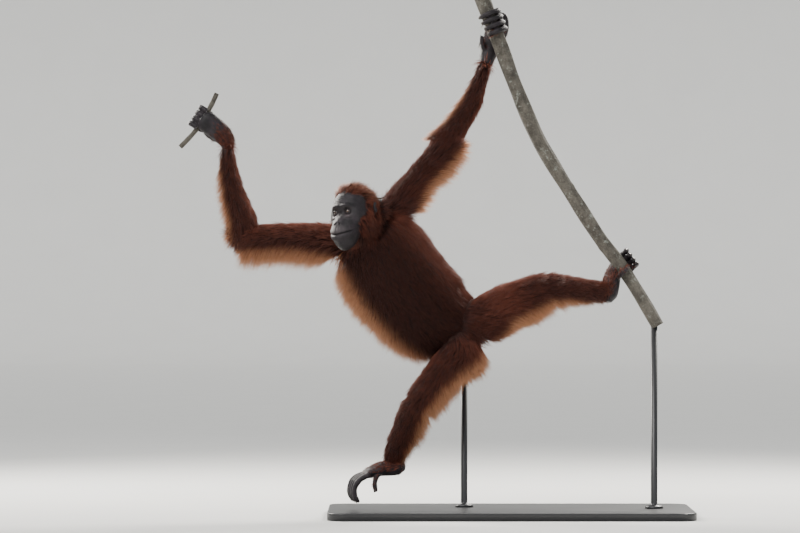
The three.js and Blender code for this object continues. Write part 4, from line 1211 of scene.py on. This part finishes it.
@dataclass
class Coat:
    """Tufts over the skin that follow the lie of the hair.

    Args:
        skin: Body skin to root the tufts in.
        head: The head.
        ends: Skin of hands and feet.
        area: Square millimetres of furred skin.
        density: Square millimetres of skin for each tuft.
        fringe_tries: Roots tried for the long hanging hair.
        head_count: Tufts of the head.
        back_tries: Roots tried on each hand and foot.
        cap: Largest number of tufts in a piece.
        seed: Start of the random numbers.
    """

    skin: Patch
    head: Head
    ends: dict[str, Patch]
    area: float = 1.17e6
    density: float = 11.0
    fringe_tries: int = 170000
    head_count: int = 17000
    back_tries: int = 9000
    cap: int = 19900
    seed: int = 5

    def __post_init__(self) -> None:
        self.share = 1.0

    @staticmethod
    def stations() -> dict[str, Array]:
        """Guide values at close stations along every limb.

        Returns:
            Arrays by name: the rows' frames and sizes, the hair's lie and fall, and where they are.
        """
        parts: dict[str, list] = {}
        for number, limb in enumerate(LIMBS):
            rows = smooth_rows(limb.table, ROW_STEPS)
            along, across, depth = row_frames(rows[:, :3])
            count = len(rows)
            fall = np.array(limb.fall, float)
            values = {"centre": rows[:, :3], "along": along, "across": across, "depth": depth,
                      "half": rows[:, 3:5], "hang": rows[:, 5],
                      "fall": unit(fall - along * (along @ fall)[:, None]), "lie": along * limb.flow.value,
                      "length": np.full(count, limb.length, float), "limb": np.full(count, number),
                      "place": np.linspace(0, 1, count)}
            for key, value in values.items():
                parts.setdefault(key, []).append(value)
        return {key: np.concatenate(value) for key, value in parts.items()}

    @staticmethod
    def roots(skin: Patch, count: int, rng: np.random.Generator) -> tuple[Array, Array]:
        """Random points on a skin by area, and their normals.

        Args:
            skin: Skin to root in.
            count: How many points.
            rng: Random numbers.

        Returns:
            Points and unit normals.
        """
        triangles = []
        for face in skin.faces:
            triangles.append(face[:, :3])
            if face.shape[1] == 4:
                triangles.append(face[:, [0, 2, 3]])
        corners = skin.points[np.vstack(triangles)]
        normal = np.cross(corners[:, 1] - corners[:, 0], corners[:, 2] - corners[:, 0])
        area = np.linalg.norm(normal, axis=1)
        chosen = rng.choice(len(corners), count, p=area / area.sum())
        a, b = np.sqrt(rng.random(count)), rng.random(count)
        c = corners[chosen]
        where = c[:, 0] * (1 - a)[:, None] + c[:, 1] * (a * (1 - b))[:, None] + c[:, 2] * (a * b)[:, None]
        return where, unit(normal[chosen])

    def guide(self, where: Array) -> dict[str, Array]:
        """Blended guide values at root points: each station weighs by its distance in limb radii.

        Args:
            where: Root points.

        Returns:
            The hair's lie, fall, hang and length, and the limb, place along it and turn round it.
        """
        table = self.stations()
        names = ("lie", "fall", "hang", "length", "limb", "place", "turn")
        result: dict[str, list] = {key: [] for key in names}
        for start in range(0, len(where), 8000):
            block = where[start:start + 8000]
            offset = block[:, None] - table["centre"][None]
            a = (offset * table["across"]).sum(-1) / table["half"][:, 0]
            b = (offset * table["depth"]).sum(-1) / table["half"][:, 1]
            c = (offset * table["along"]).sum(-1) / STATION_REACH
            apart = np.sqrt(a * a + b * b + c * c)
            nearest = apart.argmin(1)
            weight = np.exp(-7 * (apart - apart.min(1, keepdims=True)))
            weight /= weight.sum(1, keepdims=True)
            for key in ("lie", "fall"):
                result[key].append(unit(weight @ table[key]))
            for key in ("hang", "length"):
                result[key].append(weight @ table[key])
            for key in ("limb", "place"):
                result[key].append(table[key][nearest])
            rows = np.arange(len(block))
            result["turn"].append(np.arctan2(b[rows, nearest], a[rows, nearest]) / TAU % 1)
        return {key: np.concatenate(value) for key, value in result.items()}

    @staticmethod
    def clumped(root: Array, tip: Array, rng: np.random.Generator, share: int) -> tuple[Array, Array]:
        """Draws the tips of neighbours together into locks and gives each lock its own shade.

        Args:
            root: Root points.
            tip: Tips.
            rng: Random numbers.
            share: Tufts for each lock.

        Returns:
            A shade for each tuft, and the new tips.
        """
        leaders = rng.choice(len(root), max(len(root) // share, 1), replace=False)
        tree = KDTree(len(leaders))
        for number, leader in enumerate(leaders):
            tree.insert(root[leader], number)
        tree.balance()
        owner = leaders[np.array([tree.find(point)[1] for point in root])]
        pull = rng.uniform(0.1, 0.6, len(root))[:, None]
        goal = tip[owner] + (root - root[owner]) * 0.25
        near = np.linalg.norm(root - root[owner], axis=1, keepdims=True) < 30
        shade = 0.65 * rng.random(len(root))[owner] + 0.35 * rng.random(len(root))
        return shade, np.where(near, tip + (goal - tip) * pull, tip)

    @staticmethod
    def combed(flow: Array, normal: Array, stray: float, rng: np.random.Generator) -> Array:
        """The flow laid flat on the skin, with a random stray."""
        flat = flow - normal * (flow * normal).sum(1)[:, None]
        return unit(flat + stray * rng.normal(size=(len(flow), 3)))

    @staticmethod
    def bent(where: Array, start: Array, final: Array, length: Array, share: float) -> tuple[Array, Array]:
        """Control points and tips of tufts that leave along start and end along final."""
        middle = where + start * (length * share)[:, None]
        return middle, middle + final * (length * (1 - share))[:, None]

    @staticmethod
    def cell_place(column: Array, row: Array, across: Array, along: Array) -> Array:
        """Place on the unwrap, which is 4 by 4 cells with a margin inside each."""
        return np.stack([column + 0.04 + 0.92 * across, row + 0.04 + 0.92 * along], -1) / 4

    def body_roots(self, rng: np.random.Generator) -> tuple[Array, Array, dict[str, Array]]:
        """Roots spread by area, and more of them where long hair hangs from a limb.

        Args:
            rng: Random numbers.

        Returns:
            Root points, normals and guide values.
        """
        where, normal = self.roots(self.skin, int(self.area / self.density * self.share), rng)
        guide = self.guide(where)
        more_where, more_normal = self.roots(self.skin, int(self.fringe_tries * self.share), rng)
        more = self.guide(more_where)
        keen = np.maximum((more_normal * more["fall"]).sum(1), 0) ** 4 * more["hang"] / 60
        kept = rng.random(len(keen)) < keen
        guide = {key: np.concatenate([guide[key], more[key][kept]]) for key in guide}
        return np.vstack([where, more_where[kept]]), np.vstack([normal, more_normal[kept]]), guide

    @staticmethod
    def shaded(where: Array, normal: Array, trunk: Array, vary: Array) -> Array:
        """Shade of each tuft: darker on the chest side, partly the coat's own tone and partly painted shade,
        most on the trunk, and paler at the left hip.

        Args:
            where: Root points.
            normal: Skin normals.
            trunk: Which tufts are on the trunk or neck.
            vary: Random shade.

        Returns:
            The shade.
        """
        # Painted shade, partly the coat's own darker tone: tufts facing the chest side darken.
        chest = smoothstep(normal @ unit(np.array(CHEST_TONE_AND_SHADE_SIDE)), -0.25, 0.85)
        vary = (0.35 + 0.65 * vary) * (1 - chest * np.where(trunk, 0.97, 0.78))
        return vary + 0.3 * gauss(np.linalg.norm(where - np.array(PALE_HIP), axis=1), 0, 75)

    def build(self) -> list[bpy.types.Object]:
        """All coat pieces of trunk and limbs.

        A tuft leaves flat along the lie, and the more it faces the limb's fall the longer it is
        and the more it bends to hang.

        Returns:
            The pieces.
        """
        rng = np.random.default_rng(self.seed)
        where, normal, guide = self.body_roots(rng)
        total = len(where)
        fringe = np.maximum((normal * guide["fall"]).sum(1), 0) ** 2.2
        along = self.combed(guide["lie"], normal, 0.09, rng)
        hang = guide["hang"] * fringe
        length = guide["length"] * (0.7 + 0.6 * rng.random(total)) + hang * (0.7 + 0.6 * rng.random(total))
        raised = np.radians(6 + 6 * rng.random(total))[:, None]
        start = unit(along * np.cos(raised) + normal * np.sin(raised))
        blend = np.clip(hang / 45, 0, 1)[:, None]
        fall = (guide["fall"] + 0.10 * rng.normal(size=(total, 3))) * blend * 1.4
        final = unit(start * (1 - 0.8 * blend) + fall + np.array([0, 0, -0.12]))
        root = where - normal * 1.5
        middle, tip = self.bent(where, start, final, length, 0.45)
        width = (0.85 + 0.9 * rng.random(total)) * (1 - 0.4 * blend[:, 0])
        # Gold on the long hanging fringes, partly painted light from behind.
        edge = np.clip(fringe * hang / 24, 0, 1) * (0.5 + 0.5 * rng.random(total))
        vary, tip = self.clumped(root, tip, rng, 16)
        limb = guide["limb"]
        vary = self.shaded(where, normal, limb < TRUNK_LIMBS, vary)
        place = self.cell_place(limb % 4, limb // 4, guide["turn"], guide["place"])
        coat = Tufts(root, normal, middle, tip, width, edge, vary, place)
        groups = np.array([limb.group for limb in LIMBS])[limb]
        halves = np.where(guide["place"] > 0.5, "torso_upper", "torso_lower")
        groups = np.where(groups == "torso", halves, groups)
        pieces = []
        for group in sorted(set(groups)):
            chosen = rng.permutation(np.flatnonzero(groups == group))[:self.cap]
            pieces.append(coat.pick(chosen).build(f"coat_{group}"))
            log.info("coat_%s %d tufts of %d", group, len(chosen), int((groups == group).sum()))
        return pieces

    def backs(self) -> bpy.types.Object:
        """Short hair on the backs of hands and feet, thinning toward the digits.

        Returns:
            The piece.
        """
        rng = np.random.default_rng(self.seed + 2)
        parts: list[tuple] = []
        for cell, (key, (table, outward, way)) in enumerate(BACKS.items()):
            where, normal = self.roots(self.ends[key], int(self.back_tries * self.share), rng)
            rows = smooth_rows(table, ROW_STEPS)
            along = row_frames(rows[:, :3])[0]
            near = ((where[:, None] - rows[None, :, :3]) ** 2).sum(-1).argmin(1)
            place = near / (len(rows) - 1)
            facing = smoothstep(normal @ unit(np.array(outward, float)), -0.15, 0.5)
            thin = smoothstep(place, 0.75, 0.1) if way < 0 else smoothstep(place, 1.02, 0.35)
            kept = rng.random(len(where)) < facing * thin
            parts.append((where[kept], normal[kept], way * along[near[kept]], place[kept],
                          np.full(kept.sum(), cell)))
        where, normal, flow, place, cell = (np.concatenate(part) for part in zip(*parts))
        total = len(where)
        flow = self.combed(flow, normal, 0.2, rng)
        length = (22 - 11 * place) * (0.6 + 0.7 * rng.random(total))
        start = unit(flow + normal * rng.uniform(0.12, 0.3, total)[:, None])
        final = unit(start + np.array([0, 0, -0.25]) - normal * 0.15)
        root = where - normal * 0.8
        middle, tip = self.bent(where, start, final, length, 0.5)
        around = np.arctan2(normal[:, 0], normal[:, 2]) / TAU % 1
        corner = np.stack([0.52 + 0.12 * cell, np.full(total, 0.52)], -1)
        spots = corner + 0.11 * np.stack([around, place], -1)
        vary, tip = self.clumped(root, tip, rng, 9)
        width = rng.uniform(0.45, 0.8, total)
        # A small random share of the fringes' gold, partly painted light from behind.
        coat = Tufts(root, normal, middle, tip, width, vary * 0.15, 0.1 + 0.7 * vary, spots)
        return coat.build("coat_backs")

    def head_coat(self) -> bpy.types.Object:
        """Tufts of crown, temples, cheeks and beard, combed back from the face and down.

        Returns:
            The piece.
        """
        rng = np.random.default_rng(self.seed + 1)
        head = self.head
        count = int(self.head_count * self.share)
        azimuth = rng.uniform(-180, 180, count * 2)
        elevation = np.degrees(np.arcsin(rng.uniform(-0.98, 0.995, count * 2)))
        hair = 1 - head.face_mask(azimuth, elevation)
        spots = head.surface(azimuth, elevation)
        ears = [head.spot(-10.0, side * 72.0, 10.0) for side in (1, -1)]
        clear = np.min([np.linalg.norm(spots - ear, axis=1) for ear in ears], axis=0) > 19
        kept = np.flatnonzero((rng.random(count * 2) < hair**0.45) & clear)[:count]
        azimuth, elevation = azimuth[kept], elevation[kept]
        total = len(azimuth)
        where = head.surface(azimuth, elevation)
        normal = unit(where - head.surface(azimuth, elevation, -20))
        away = np.abs(azimuth)
        back = smoothstep(elevation, 5, 45)
        beard = smoothstep(elevation, -45, -68) * smoothstep(away, 100, 60)
        cheek = smoothstep(elevation, 5, -25) * smoothstep(away, 45, 75)
        behind = smoothstep(away, 85, 125) * smoothstep(elevation, 40, -10)
        near = smoothstep(head.face_mask(azimuth, elevation), 0.75, 0.0)
        ruff = gauss(away, 68, 22) * smoothstep(np.abs(elevation + 15), 42, 20)
        flow = (-head.forward * (0.55 + 0.6 * back)[:, None] - head.up * (1.05 - 0.75 * back)[:, None]
                + head.left * (np.sign(azimuth) * 0.35 * (1 - beard))[:, None]
                + head.forward * (0.6 * beard)[:, None])
        along = self.combed(flow, normal, 0.14, rng)
        length = (26 + 8 * back + 18 * beard + 22 * cheek + 26 * behind) * (0.6 + 0.7 * rng.random(total))
        length = length * (0.4 + 0.6 * near)
        stray = 20 * back * near + np.where(azimuth < 0, 75, 15) * ruff
        raised = np.radians(9 + 10 * rng.random(total) + stray * rng.random(total))[:, None]
        start = unit(along * np.cos(raised) + normal * np.sin(raised))
        final = unit(start + np.array([0, 0, -0.35]) * (0.4 + beard + cheek)[:, None])
        root = where - normal * 1.2
        middle, tip = self.bent(where, start, final, length, 0.45)
        width = (0.5 + 0.5 * rng.random(total)) * (0.5 + 0.5 * near)
        # Gold on the back of the head and on its right side, partly painted light from behind.
        edge = np.clip(0.42 * back + 0.3 * gauss(azimuth, -80, 40), 0, 1) * rng.random(total)
        vary, tip = self.clumped(root, tip, rng, 12)
        # Painted shade darkens the hair of the left cheek, which faces away from the light from behind; the
        # beard is darker too.
        vary *= 1 - 0.65 * cheek * smoothstep(azimuth, 0, 20) - 0.4 * beard
        place = self.cell_place(2, 3, (azimuth + 180) / 360, (elevation + 90) / 180)
        return Tufts(root, normal, middle, tip, width, edge, vary, place).build("coat_head_hair")


@dataclass
class Body:
    """Skin of trunk, limbs, hands and feet, and the nails.

    Args:
        coat_depth: Millimetres from the skin to the solids' surface where hair grows.
        body_cell: Remesh cell of trunk and limbs.
        hand_cell: Remesh cell of hands and feet.
    """

    coat_depth: float = 7.0
    body_cell: float = 5.5
    hand_cell: float = 2.1

    def trunk_and_limbs(self) -> Patch:
        """Fused lofts of every furred stretch, inside the solids by the coat's depth.

        Returns:
            The fused skin.
        """
        rows = [smooth_rows(limb.table, ROW_STEPS) for limb in LIMBS]
        trunk = fused([grid_patch(ring_grid(row, 40, -self.coat_depth)) for row in rows], self.body_cell, 5)
        trunk.values = np.zeros((len(trunk.points), 3))
        return trunk

    def extremities(self) -> dict[str, Patch]:
        """The two hands and two feet, palms and soles fused with their digits.

        The finger end of a palm is rounded: its half axes follow a quarter circle.

        Returns:
            The bare skin of each.
        """
        result = {}
        for key, members in digits().items():
            rows = smooth_rows(BACKS[key][0], 8)
            ends = np.arange(len(rows))[::-1] / 7
            rows[:, 3:5] *= np.sqrt(1 - (1 - np.clip(ends, 0.12, 1)) ** 2)[:, None]
            shapes = [grid_patch(ring_grid(rows, 36, -0.5)), *(digit.patch() for digit in members)]
            result[key] = bare(fused(shapes, self.hand_cell, 7))
        return result

    @staticmethod
    def nails() -> bpy.types.Object:
        """One dark plate on each finger and toe."""
        plates = [digit.nail() for members in digits().values() for digit in members]
        return make_object("nails", join(plates))


def stem_patch(line: Rows, top: float, low: float, sides: int, count: int, seed: int) -> Patch:
    """Bent stem: radius from top to low times slow swellings, with shallow ridges and knots.

    Args:
        line: Points along it.
        top: Radius at its first end.
        low: Radius at its last end.
        sides: Corners of a ring.
        count: Number of rings.
        seed: Start of the random numbers.

    Returns:
        The closed stem.
    """
    rng = np.random.default_rng(seed)
    part = np.linspace(0, 1, count)
    centre = curve_points(np.array(line, float), count)
    swell = 1 + 0.035 * np.sin(part * 41) + 0.02 * np.sin(part * 17 + 1)
    size = top + (low - top) * part
    angle = np.arange(sides) / sides * TAU
    detail = np.zeros((count, sides))
    for _ in range(9):
        turns, twist, phase = rng.integers(2, 9), rng.uniform(-9, 9), rng.uniform(0, TAU)
        detail += 0.012 * np.sin(angle[None] * turns + part[:, None] * twist * 3 + phase)
    for _ in range(8):
        at, around = rng.uniform(0.04, 0.96), rng.uniform(0, TAU)
        near = np.cos(angle - around)[None]
        detail += 0.07 * gauss(part[:, None], at, 0.008) * np.clip(near, 0, 1) ** 3
    _, across, depth = row_frames(centre)
    reach = (size * swell)[:, None] * (0.985 + detail)
    return grid_patch(centre[:, None] + across[:, None] * (reach * np.cos(angle))[..., None]
                      + depth[:, None] * (reach * np.sin(angle))[..., None])


@dataclass
class Stand:
    """Flat base and upright rods.

    Args:
        length: Base length.
        depth: Base depth.
        thick: Base thickness.
        corner: Corner radius.
        edge: Radius of the top edge.
        rod: Rod radius.
        sides: Corners of a rod's ring.
    """

    length: float = 1200
    depth: float = 620
    thick: float = 25
    corner: float = 60
    edge: float = 3
    rod: float = 11
    sides: int = 48

    def base(self) -> Patch:
        """Rounded rectangle whose top edge is a quarter circle.

        Returns:
            The closed base.
        """
        ring = []
        for sx, sy, start in ((1, 1, 0), (-1, 1, 90), (-1, -1, 180), (1, -1, 270)):
            angle = np.radians(start + np.linspace(0, 90, 13))
            x = sx * (self.length / 2 - self.corner) + np.cos(angle) * self.corner
            y = sy * (self.depth / 2 - self.corner) + np.sin(angle) * self.corner
            ring.append(np.stack([x, y], -1))
        outline = np.vstack(ring)
        edge, below = self.edge, self.thick - self.edge
        profile = [(0.0, 0.0), (below, 0.0)]
        bends = np.linspace(0.3, math.pi / 2, 5)
        profile += [(below + edge * math.sin(a), edge - edge * math.cos(a)) for a in bends]
        half = np.array([self.length, self.depth]) / 2
        rings = [np.column_stack([outline * (1 - inset / half), np.full(len(outline), height)])
                 for height, inset in profile]
        return grid_patch(np.stack(rings))

    def upright(self, x: float, y: float, top: float) -> Patch:
        """Round rod on a small collar.

        Args:
            x: Place to the photo's right.
            y: Place away from the camera.
            top: Height of its top.

        Returns:
            The closed rod.
        """
        profile = [(0, 30), (6, 30), (8, 27), (12, self.rod + 1), (16, self.rod),
                   (top - self.thick, self.rod)]
        angle = np.arange(self.sides) / self.sides * TAU
        floor = self.thick + GAP
        return grid_patch(np.stack([
            np.column_stack([x + np.cos(angle) * radius, y + np.sin(angle) * radius,
                             np.full(self.sides, floor + height)]) for height, radius in profile]))


@dataclass
class Studio:
    """Paper cove, lights and the camera at the photo's angle.

    Args:
        distance: Camera distance in metres.
        lens: Focal length in millimetres.
        sensor: Sensor width in millimetres.
        reach: Millimetres the floor runs to each side and to the front.
        cove_start: Millimetres back to where the floor turns up.
        cove_radius: Radius of that turn.
    """

    distance: float = 14.67
    lens: float = 200
    sensor: float = 36
    reach: float = 40000
    cove_start: float = 22000
    cove_radius: float = 4000

    def build(self) -> None:
        """Makes floor, lights and camera."""
        self.floor()
        self.light("fill_light", (2.8, -4.2, 1.6), (-0.3, 0, 0.8), 3.0, 45, (0.95, 0.97, 1.0))
        self.light("back_light", (1.8, 2.3, 3.0), (-0.35, 0, 0.9), 1.4, 330, (1.0, 0.96, 0.90))
        self.light("rim_light", (-2.6, 2.2, 2.4), (-0.4, 0, 0.8), 1.4, 260, (1.0, 0.96, 0.90))
        sun = bpy.data.lights.new("key_light", "SUN")
        sun.energy, sun.angle, sun.color = 3.3, math.radians(35), (1.0, 0.98, 0.96)
        self.place("key_light", sun).rotation_euler = self.aim((0.42, 0.62, -0.66))
        world = bpy.data.worlds.new("studio_world")
        world.use_nodes = True
        sky = world.node_tree.nodes["Background"].inputs
        sky["Color"].default_value = (0.9, 0.95, 1.0, 1)
        sky["Strength"].default_value = 0.42
        bpy.context.scene.world = world
        data = bpy.data.cameras.new("camera")
        data.lens, data.sensor_width = self.lens, self.sensor
        data.clip_start, data.clip_end = 0.1, 60
        camera = self.place("camera", data)
        camera.location = (-0.363, -self.distance, 0.8234)
        camera.rotation_euler = (math.pi / 2, 0, 0)
        bpy.context.scene.camera = camera

    def floor(self) -> None:
        """Floor just under the stand, turned up behind it along a quarter circle."""
        bend = self.cove_radius
        profile = [(-self.reach, 0.0), (self.cove_start, 0.0)]
        profile += [(self.cove_start + bend * math.sin(a), bend - bend * math.cos(a))
                    for a in np.linspace(0.1, math.pi / 2, 16)]
        profile += [(self.cove_start + bend, 4 * bend)]
        grid = np.array([[(x, y, z - 0.5) for x in (-self.reach, 0, self.reach)] for y, z in profile], float)
        index = np.arange(grid.shape[0] * 3).reshape(-1, 3)
        quads = np.stack([index[:-1, :-1], index[:-1, 1:], index[1:, 1:], index[1:, :-1]], -1).reshape(-1, 4)
        floor = make_object("studio_floor", Patch(grid.reshape(-1, 3), [quads]))
        floor.data.materials.append(cove_material())

    @staticmethod
    def aim(way: tuple[float, ...]) -> Euler:
        """Rotation that points a light along a direction."""
        return Vector(way).to_track_quat("-Z", "Y").to_euler()

    @staticmethod
    def place(name: str, data: bpy.types.ID) -> bpy.types.Object:
        """Linked object for a light or camera.

        Args:
            name: Its name.
            data: The light or camera.

        Returns:
            The object.
        """
        obj = bpy.data.objects.new(name, data)
        bpy.context.scene.collection.objects.link(obj)
        return obj

    def light(self, name: str, place: tuple, target: tuple, size: float, power: float, colour: tuple) -> None:
        """Square soft light.

        Args:
            name: Light name.
            place: Where it stands, in metres.
            target: What it points at.
            size: Side length in metres.
            power: Watts.
            colour: Red, green and blue.
        """
        data = bpy.data.lights.new(name, "AREA")
        data.shape, data.size, data.energy, data.color = "SQUARE", size, power, colour
        obj = self.place(name, data)
        obj.location = place
        obj.rotation_euler = self.aim(Vector(target) - Vector(place))


def attach(obj: bpy.types.Object, material: bpy.types.Material, slot: str, *nodes: str) -> None:
    """Gives a finished piece its material and body, hides the CAD nodes it stands for, and logs its slot.

    Args:
        obj: The piece.
        material: Its material.
        slot: Slot name, only written to the log.
        *nodes: CAD nodes that it replaces.
    """
    obj.data.materials.clear()
    obj.data.materials.append(material)
    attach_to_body(obj, "root")
    if nodes:
        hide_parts(*nodes)
    log.info("%s: %d faces, slot %s", obj.name, len(obj.data.polygons), slot)


def main() -> None:
    """Builds every piece of the model and the studio."""
    logging.basicConfig(level=logging.INFO)
    head, body, stand = Head(), Body(), Stand()
    trunk = body.trunk_and_limbs()
    ends = body.extremities()
    skin = make_object("skin", join([trunk, head.patch(), head.ear(1), head.ear(-1), *ends.values()]))
    flesh = [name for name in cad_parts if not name.startswith(OTHER_NODES)]
    attach(skin, skin_material(), "skin", *flesh)
    for name, side in (("eye_left", 1), ("eye_right", -1)):
        attach(make_object(f"{name}_ball", head.eyeball(side)), eye_material(), "eye", name)
    attach(body.nails(), nail_material(), "skin")
    coat = Coat(trunk, head, ends)
    hair = coat_material()
    for piece in [*coat.build(), coat.head_coat(), coat.backs()]:
        attach(piece, hair, "coat")
    bark = bark_material()
    for name, plan in STEMS.items():
        attach(make_object(name, stem_patch(*plan)), bark, "bark", f"perch_{name}")
    paint = stand_material()
    attach(make_object("base", stand.base(), smooth=False), paint, "stand", "stand_base")
    for name, place in RODS.items():
        attach(make_object(name, stand.upright(*place)), paint, "stand", f"stand_{name}")
    Studio().build()


if __name__ == "__main__":
    main()
